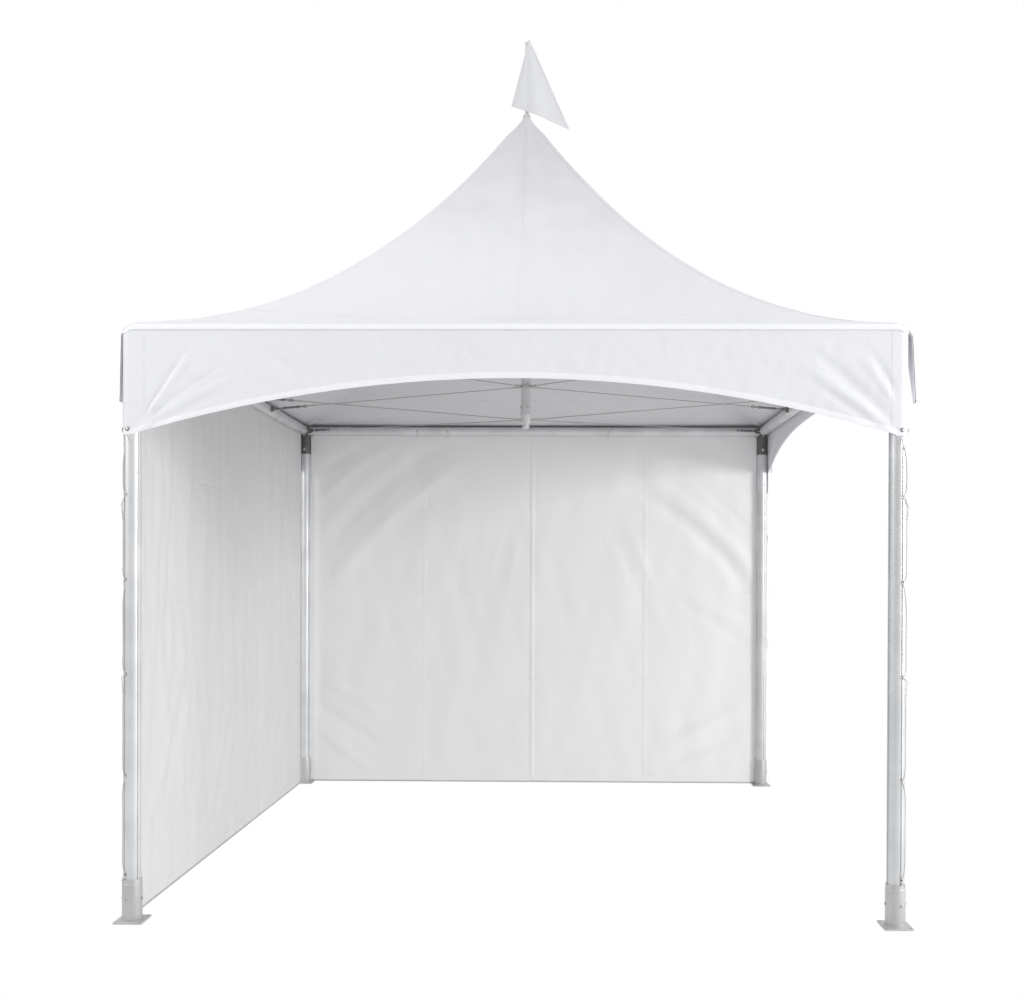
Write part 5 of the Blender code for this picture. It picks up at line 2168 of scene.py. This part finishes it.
@dataclass(frozen=True)
class Studio:
    """A white floor and surround, two broad soft lights and the camera."""

    camera_at: tuple[float, float, float] = (0.1911, -5.8940, 1.3553)
    camera_turn: tuple[float, float, float] = (0.5 * math.pi - 0.0066, -0.0035, 0.0145)
    lens: float = 39.754
    shift: tuple[float, float] = (-0.03282, 0.08252)
    surround: tuple[tuple[str, float, float], ...] = (
        ("Z", 1.0, 1.2), ("Y", -1.0, 0.436), ("Y", 1.0, 0.80), ("X", 1.0, 1.10), ("X", -1.0, 0.30),
    )
    floor_size: float = 60.0
    floor_shade: float = 0.30
    floor_glow: float = 0.511
    lights: tuple[SoftLight, ...] = (
        SoftLight("right light", (7.8, -4.2, 3.0), (-0.2, 0.0, 1.3), 2.0, 345.0),
        SoftLight("left light", (-6.0, -4.0, 4.5), (0.0, 0.0, 2.0), 3.0, 173.0),
    )

    def build(self) -> None:
        """Set up the studio."""
        scene = bpy.context.scene
        scene.view_settings.view_transform = "Standard"
        self.floor()
        self.world()
        for light in self.lights:
            light.build()
        data = bpy.data.cameras.new("camera")
        data.lens, data.sensor_width = self.lens, 36.0
        data.shift_x, data.shift_y = self.shift
        camera = bpy.data.objects.new("camera", data)
        camera.location = self.camera_at
        camera.rotation_euler = self.camera_turn
        scene.collection.objects.link(camera)
        scene.camera = camera

    def floor(self) -> None:
        """Add the floor, white to the camera and dimmer to all else."""
        mesh = bpy.data.meshes.new("floor")
        reach = 0.5 * self.floor_size
        mesh.from_pydata([(-reach, -reach, 0), (reach, -reach, 0), (reach, reach, 0), (-reach, reach, 0)], [], [(0, 1, 2, 3)])
        item = bpy.data.objects.new("floor", mesh)
        bpy.context.scene.collection.objects.link(item)
        finish = bpy.data.materials.new("pale floor")
        finish.use_nodes = True
        wires = Wires(finish.node_tree)
        shader = finish.node_tree.nodes["Principled BSDF"]
        for label, value in (
            ("Base Color", (self.floor_shade, self.floor_shade, self.floor_shade, 1.0)),
            ("Roughness", 0.9),
            ("Specular IOR Level", 0.1),
            ("Emission Color", (1.0, 1.0, 1.0, 1.0)),
            ("Emission Strength", self.floor_glow),
        ):
            shader.inputs[label].default_value = value
        seen = wires.node("ShaderNodeEmission", {"Color": (1.0, 1.0, 1.0, 1.0), "Strength": 1.0})
        rays = wires.node("ShaderNodeLightPath").outputs["Is Camera Ray"]
        both = wires.node("ShaderNodeMixShader", {0: rays, 1: shader.outputs[0], 2: seen.outputs[0]})
        wires.tree.links.new(both.outputs[0], finish.node_tree.nodes["Material Output"].inputs["Surface"])
        mesh.materials.append(finish)

    def world(self) -> None:
        """Add the surround: white to the camera, and to all else a soft light with its own strength on each side."""
        world = bpy.data.worlds.new("surround")
        world.use_nodes = True
        bpy.context.scene.world = world
        wires = Wires(world.node_tree)
        for node in list(world.node_tree.nodes):
            world.node_tree.nodes.remove(node)
        split = wires.node("ShaderNodeSeparateXYZ", {0: wires.node("ShaderNodeTexCoord").outputs["Generated"]})
        strength: Any = 0.0
        for axis, sign, share in self.surround:
            toward = wires.math("MAXIMUM", wires.math("MULTIPLY", split.outputs[axis], sign), 0.0)
            strength = wires.math("MULTIPLY_ADD", wires.math("MULTIPLY", toward, toward), share, strength)
        lit = wires.node("ShaderNodeBackground", {"Color": (1.0, 1.0, 1.0, 1.0), "Strength": strength})
        seen = wires.node("ShaderNodeBackground", {"Color": (1.0, 1.0, 1.0, 1.0), "Strength": 1.0})
        rays = wires.node("ShaderNodeLightPath").outputs["Is Camera Ray"]
        both = wires.node("ShaderNodeMixShader", {0: rays, 1: lit.outputs[0], 2: seen.outputs[0]})
        wires.node("ShaderNodeOutputWorld", {"Surface": both.outputs[0]})


# ---- the tent


FACE_ARCH = Arch(half=1.470, crown=2.1215, spring=1.907, power=2.0)
SIDE_ARCH = Arch(half=1.468, crown=2.221, spring=2.030, power=3.0)
FRONT_FOLDS = (
    Fold((-1.455, 1.945), (-1.250, 2.262), 0.0125, -0.0052, bend=0.004),
    Fold((-1.435, 1.940), (-1.218, 2.250), 0.0130, 0.0046, bend=0.004),
    Fold((-1.452, 1.938), (-1.110, 2.178), 0.0125, -0.0048, bend=0.010),
    Fold((-1.438, 1.928), (-1.070, 2.128), 0.0125, 0.0050, bend=0.010),
    Fold((-1.372, 1.940), (-1.110, 2.070), 0.0110, -0.0040, bend=0.006),
    Fold((-0.930, 2.205), (-0.800, 2.085), 0.020, -0.0032),
    Fold((-0.905, 2.175), (-0.775, 2.070), 0.018, 0.0030),
    Fold((1.462, 1.945), (1.150, 2.225), 0.028, -0.0055, bend=-0.012),
    Fold((1.452, 1.915), (1.120, 2.165), 0.026, 0.0050, bend=-0.010),
    Fold((1.430, 1.925), (1.185, 2.085), 0.018, -0.0040),
    Fold((1.482, 2.052), (1.380, 2.225), 0.018, -0.0042),
    Fold((1.462, 2.030), (1.345, 2.205), 0.018, 0.0036),
)
SIDE_FOLDS = (
    Fold((-1.462, 2.072), (-1.230, 2.262), 0.020, -0.0042, bend=0.012),
    Fold((-1.455, 2.066), (-1.120, 2.205), 0.018, -0.0032),
    Fold((1.462, 2.074), (1.215, 2.258), 0.022, -0.0042, bend=-0.012),
    Fold((1.450, 2.068), (1.140, 2.196), 0.018, 0.0028),
)
FRONT_PATCHES = (
    Patch((-1.508, -1.430), (2.023, 2.30)),
    Patch((-1.508, -1.390), (1.926, 2.0226)),
    Patch((1.455, 1.508), (1.926, 2.30)),
)
SIDE_PATCHES = (
    Patch((-1.508, -1.440), (2.068, 2.30)),
    Patch((-1.508, -1.474), (1.926, 2.0676)),
    Patch((1.440, 1.508), (2.068, 2.30)),
    Patch((1.474, 1.508), (1.926, 2.0676)),
)
BACK_SEAMS = ((-0.735, -0.0012), (0.003, -0.0048), (0.706, -0.0010))
LEFT_SEAMS = ((-0.57, 0.0026), (0.06, 0.0030), (0.72, 0.0014))
BACK_WALL_FOLDS = (
    Fold((-0.62, 2.06), (-1.44, 1.38), 0.070, -0.0125, bend=-0.06),
    Fold((-0.68, 1.90), (-1.44, 1.24), 0.065, 0.0125, bend=-0.07),
    Fold((-0.87, 2.10), (-1.43, 1.62), 0.040, 0.0055, bend=-0.04),
    Fold((-1.02, 2.16), (-1.43, 1.80), 0.035, -0.0045),
    Fold((-1.20, 2.16), (-1.42, 1.95), 0.025, 0.0040),
    Fold((-0.30, 2.22), (-0.74, 1.92), 0.050, -0.0045),
    Fold((-0.46, 1.74), (-0.72, 1.24), 0.040, 0.0025),
    Fold((-0.56, 1.76), (-0.80, 1.30), 0.040, -0.0035),
    Fold((-0.90, 1.30), (-1.43, 1.02), 0.050, -0.0045),
    Fold((-1.00, 1.16), (-1.43, 0.90), 0.040, 0.0040),
    Fold((0.50, 2.26), (1.42, 1.44), 0.070, 0.0080, bend=0.08),
    Fold((0.42, 2.12), (1.40, 1.18), 0.070, -0.0075, bend=0.08),
    Fold((0.86, 2.25), (1.43, 1.82), 0.050, -0.0055, bend=0.03),
    Fold((1.06, 2.25), (1.43, 2.02), 0.040, 0.0050),
    Fold((0.42, 1.30), (1.40, 0.84), 0.060, 0.0030),
    Fold((0.10, 1.62), (0.16, 1.26), 0.030, -0.0028),
    Fold((0.15, 1.72), (0.26, 1.24), 0.035, 0.0025),
    Fold((0.30, 1.70), (0.38, 1.10), 0.040, -0.0022),
    Fold((0.44, 1.66), (0.50, 1.20), 0.040, 0.0020),
    Fold((1.40, 0.50), (0.98, 0.22), 0.050, 0.0100),
    Fold((1.40, 0.36), (1.06, 0.08), 0.040, -0.0085),
    Fold((1.38, 0.70), (0.94, 0.42), 0.045, -0.0075),
    Fold((-0.86, 0.14), (-1.40, 0.36), 0.050, 0.0085),
    Fold((-0.90, 0.26), (-1.42, 0.54), 0.045, -0.0080),
)
LEFT_WALL_FOLDS = (
    Fold((-1.10, 2.20), (-1.22, 1.20), 0.030, 0.0104, bend=0.03),
    Fold((-1.02, 2.20), (-1.16, 1.10), 0.035, -0.0080, bend=0.03),
    Fold((-0.40, 2.24), (-0.50, 0.70), 0.050, -0.0080),
    Fold((0.30, 2.24), (0.24, 0.60), 0.045, 0.0080),
    Fold((0.95, 2.20), (1.10, 0.90), 0.040, 0.0096),
    Fold((1.14, 2.20), (1.24, 0.80), 0.040, -0.0088),
    Fold((1.30, 2.10), (1.34, 0.60), 0.030, 0.0080),
    Fold((0.067, 0.70), (0.43, 0.10), 0.040, 0.0112),
    Fold((0.16, 0.74), (0.53, 0.12), 0.040, -0.0096),
    Fold((-0.558, 0.70), (-0.04, 0.09), 0.040, 0.0112),
    Fold((-0.46, 0.74), (0.06, 0.10), 0.040, -0.0096),
    Fold((-1.27, 1.00), (-0.673, 0.15), 0.045, 0.0112),
    Fold((-1.16, 1.06), (-0.57, 0.17), 0.045, -0.0096),
    Fold((0.718, 1.02), (1.17, 0.29), 0.040, 0.0112),
    Fold((0.82, 1.06), (1.27, 0.32), 0.040, -0.0096),
    Fold((1.36, 0.50), (1.06, 0.16), 0.040, 0.0072),
)
RAIL_TIES = (-0.755, -0.558, 0.488)
TO_THE_LEG = 0.0055
VALANCE_BOLT_Z = 1.923
BOLT_TURN = math.radians(12.5)


def build_cloth(plan: Plan) -> None:
    """Make every piece of cloth and the bolts through it."""
    Roof(plan).build()
    face, flank = (FACE_ARCH, FRONT_FOLDS, FRONT_PATCHES), (SIDE_ARCH, SIDE_FOLDS, SIDE_PATCHES)
    places = []
    for side, chosen in zip(Side, (face, flank, face, flank), strict=True):
        valance = Valance(plan, side, *chosen, seed=20 + side.value, step=0.0115 if chosen is face else 0.016)
        valance.build()
        places += [valance.bolt(end, VALANCE_BOLT_Z, BOLT_TURN) for end in (-1.0, 1.0)]
    washer = Shape()
    washer.lathe(rounded(((0.002, 0.0), (0.0090, 0.0), (0.0090, 0.0016), (0.0062, 0.0022), (0.002, 0.0022)), 0.0005), (0, 0, 0))
    studs("valance_washers", washer, places, SCREW_METAL, Slot.VINYL)
    studs("valance_bolts", rivet_part(0.0052), [(spot + out * 0.0018, out) for spot, out in places], BOLT_METAL, Slot.VINYL)
    for corner in Corner:
        CornerFlap(plan, corner).build()
    Wall(plan, Side.BACK, WALL_VINYL, BACK_WALL_FOLDS, BACK_SEAMS, seed=61, ripple=0.0015).build()
    Wall(plan, Side.LEFT, SHADED_SIDE_WALL_VINYL, LEFT_WALL_FOLDS, LEFT_SEAMS, seed=74, ripple=0.0044).build()
    Pennant().build()


def build_frame(plan: Plan) -> None:
    """Make every piece of metal and cord."""
    for corner in Corner:
        Foot(plan, corner).build()
        Leg(plan, corner).build()
        CornerFitting(plan, corner).build()
        Lacing(plan, corner).build()
    for side in Side:
        Rail(plan, side).build()
    Mast(plan).build()
    for label in (*(corner.label for corner in Corner), "upper_left", "upper_right", "lower_left", "lower_right"):
        Stay(plan, label).build()
    Peak().build()
    for k, x in enumerate(RAIL_TIES):
        tie(f"back_rail_tie_{k + 1}", np.array((x, plan.half, plan.rail_z)), np.array((1.0, 0.0, 0.0)), plan.rail_r + 0.002)
    tie("left_rail_tie", np.array((-plan.half, 0.707, plan.rail_z)), np.array((0.0, 1.0, 0.0)), plan.rail_r + 0.002)


def main() -> None:
    """Build the tent and the studio round it."""
    logging.basicConfig(level=logging.INFO, format="%(name)s %(message)s")
    build_cloth(PLAN)
    build_frame(PLAN)
    Studio().build()


if __name__ == "__main__":
    main()
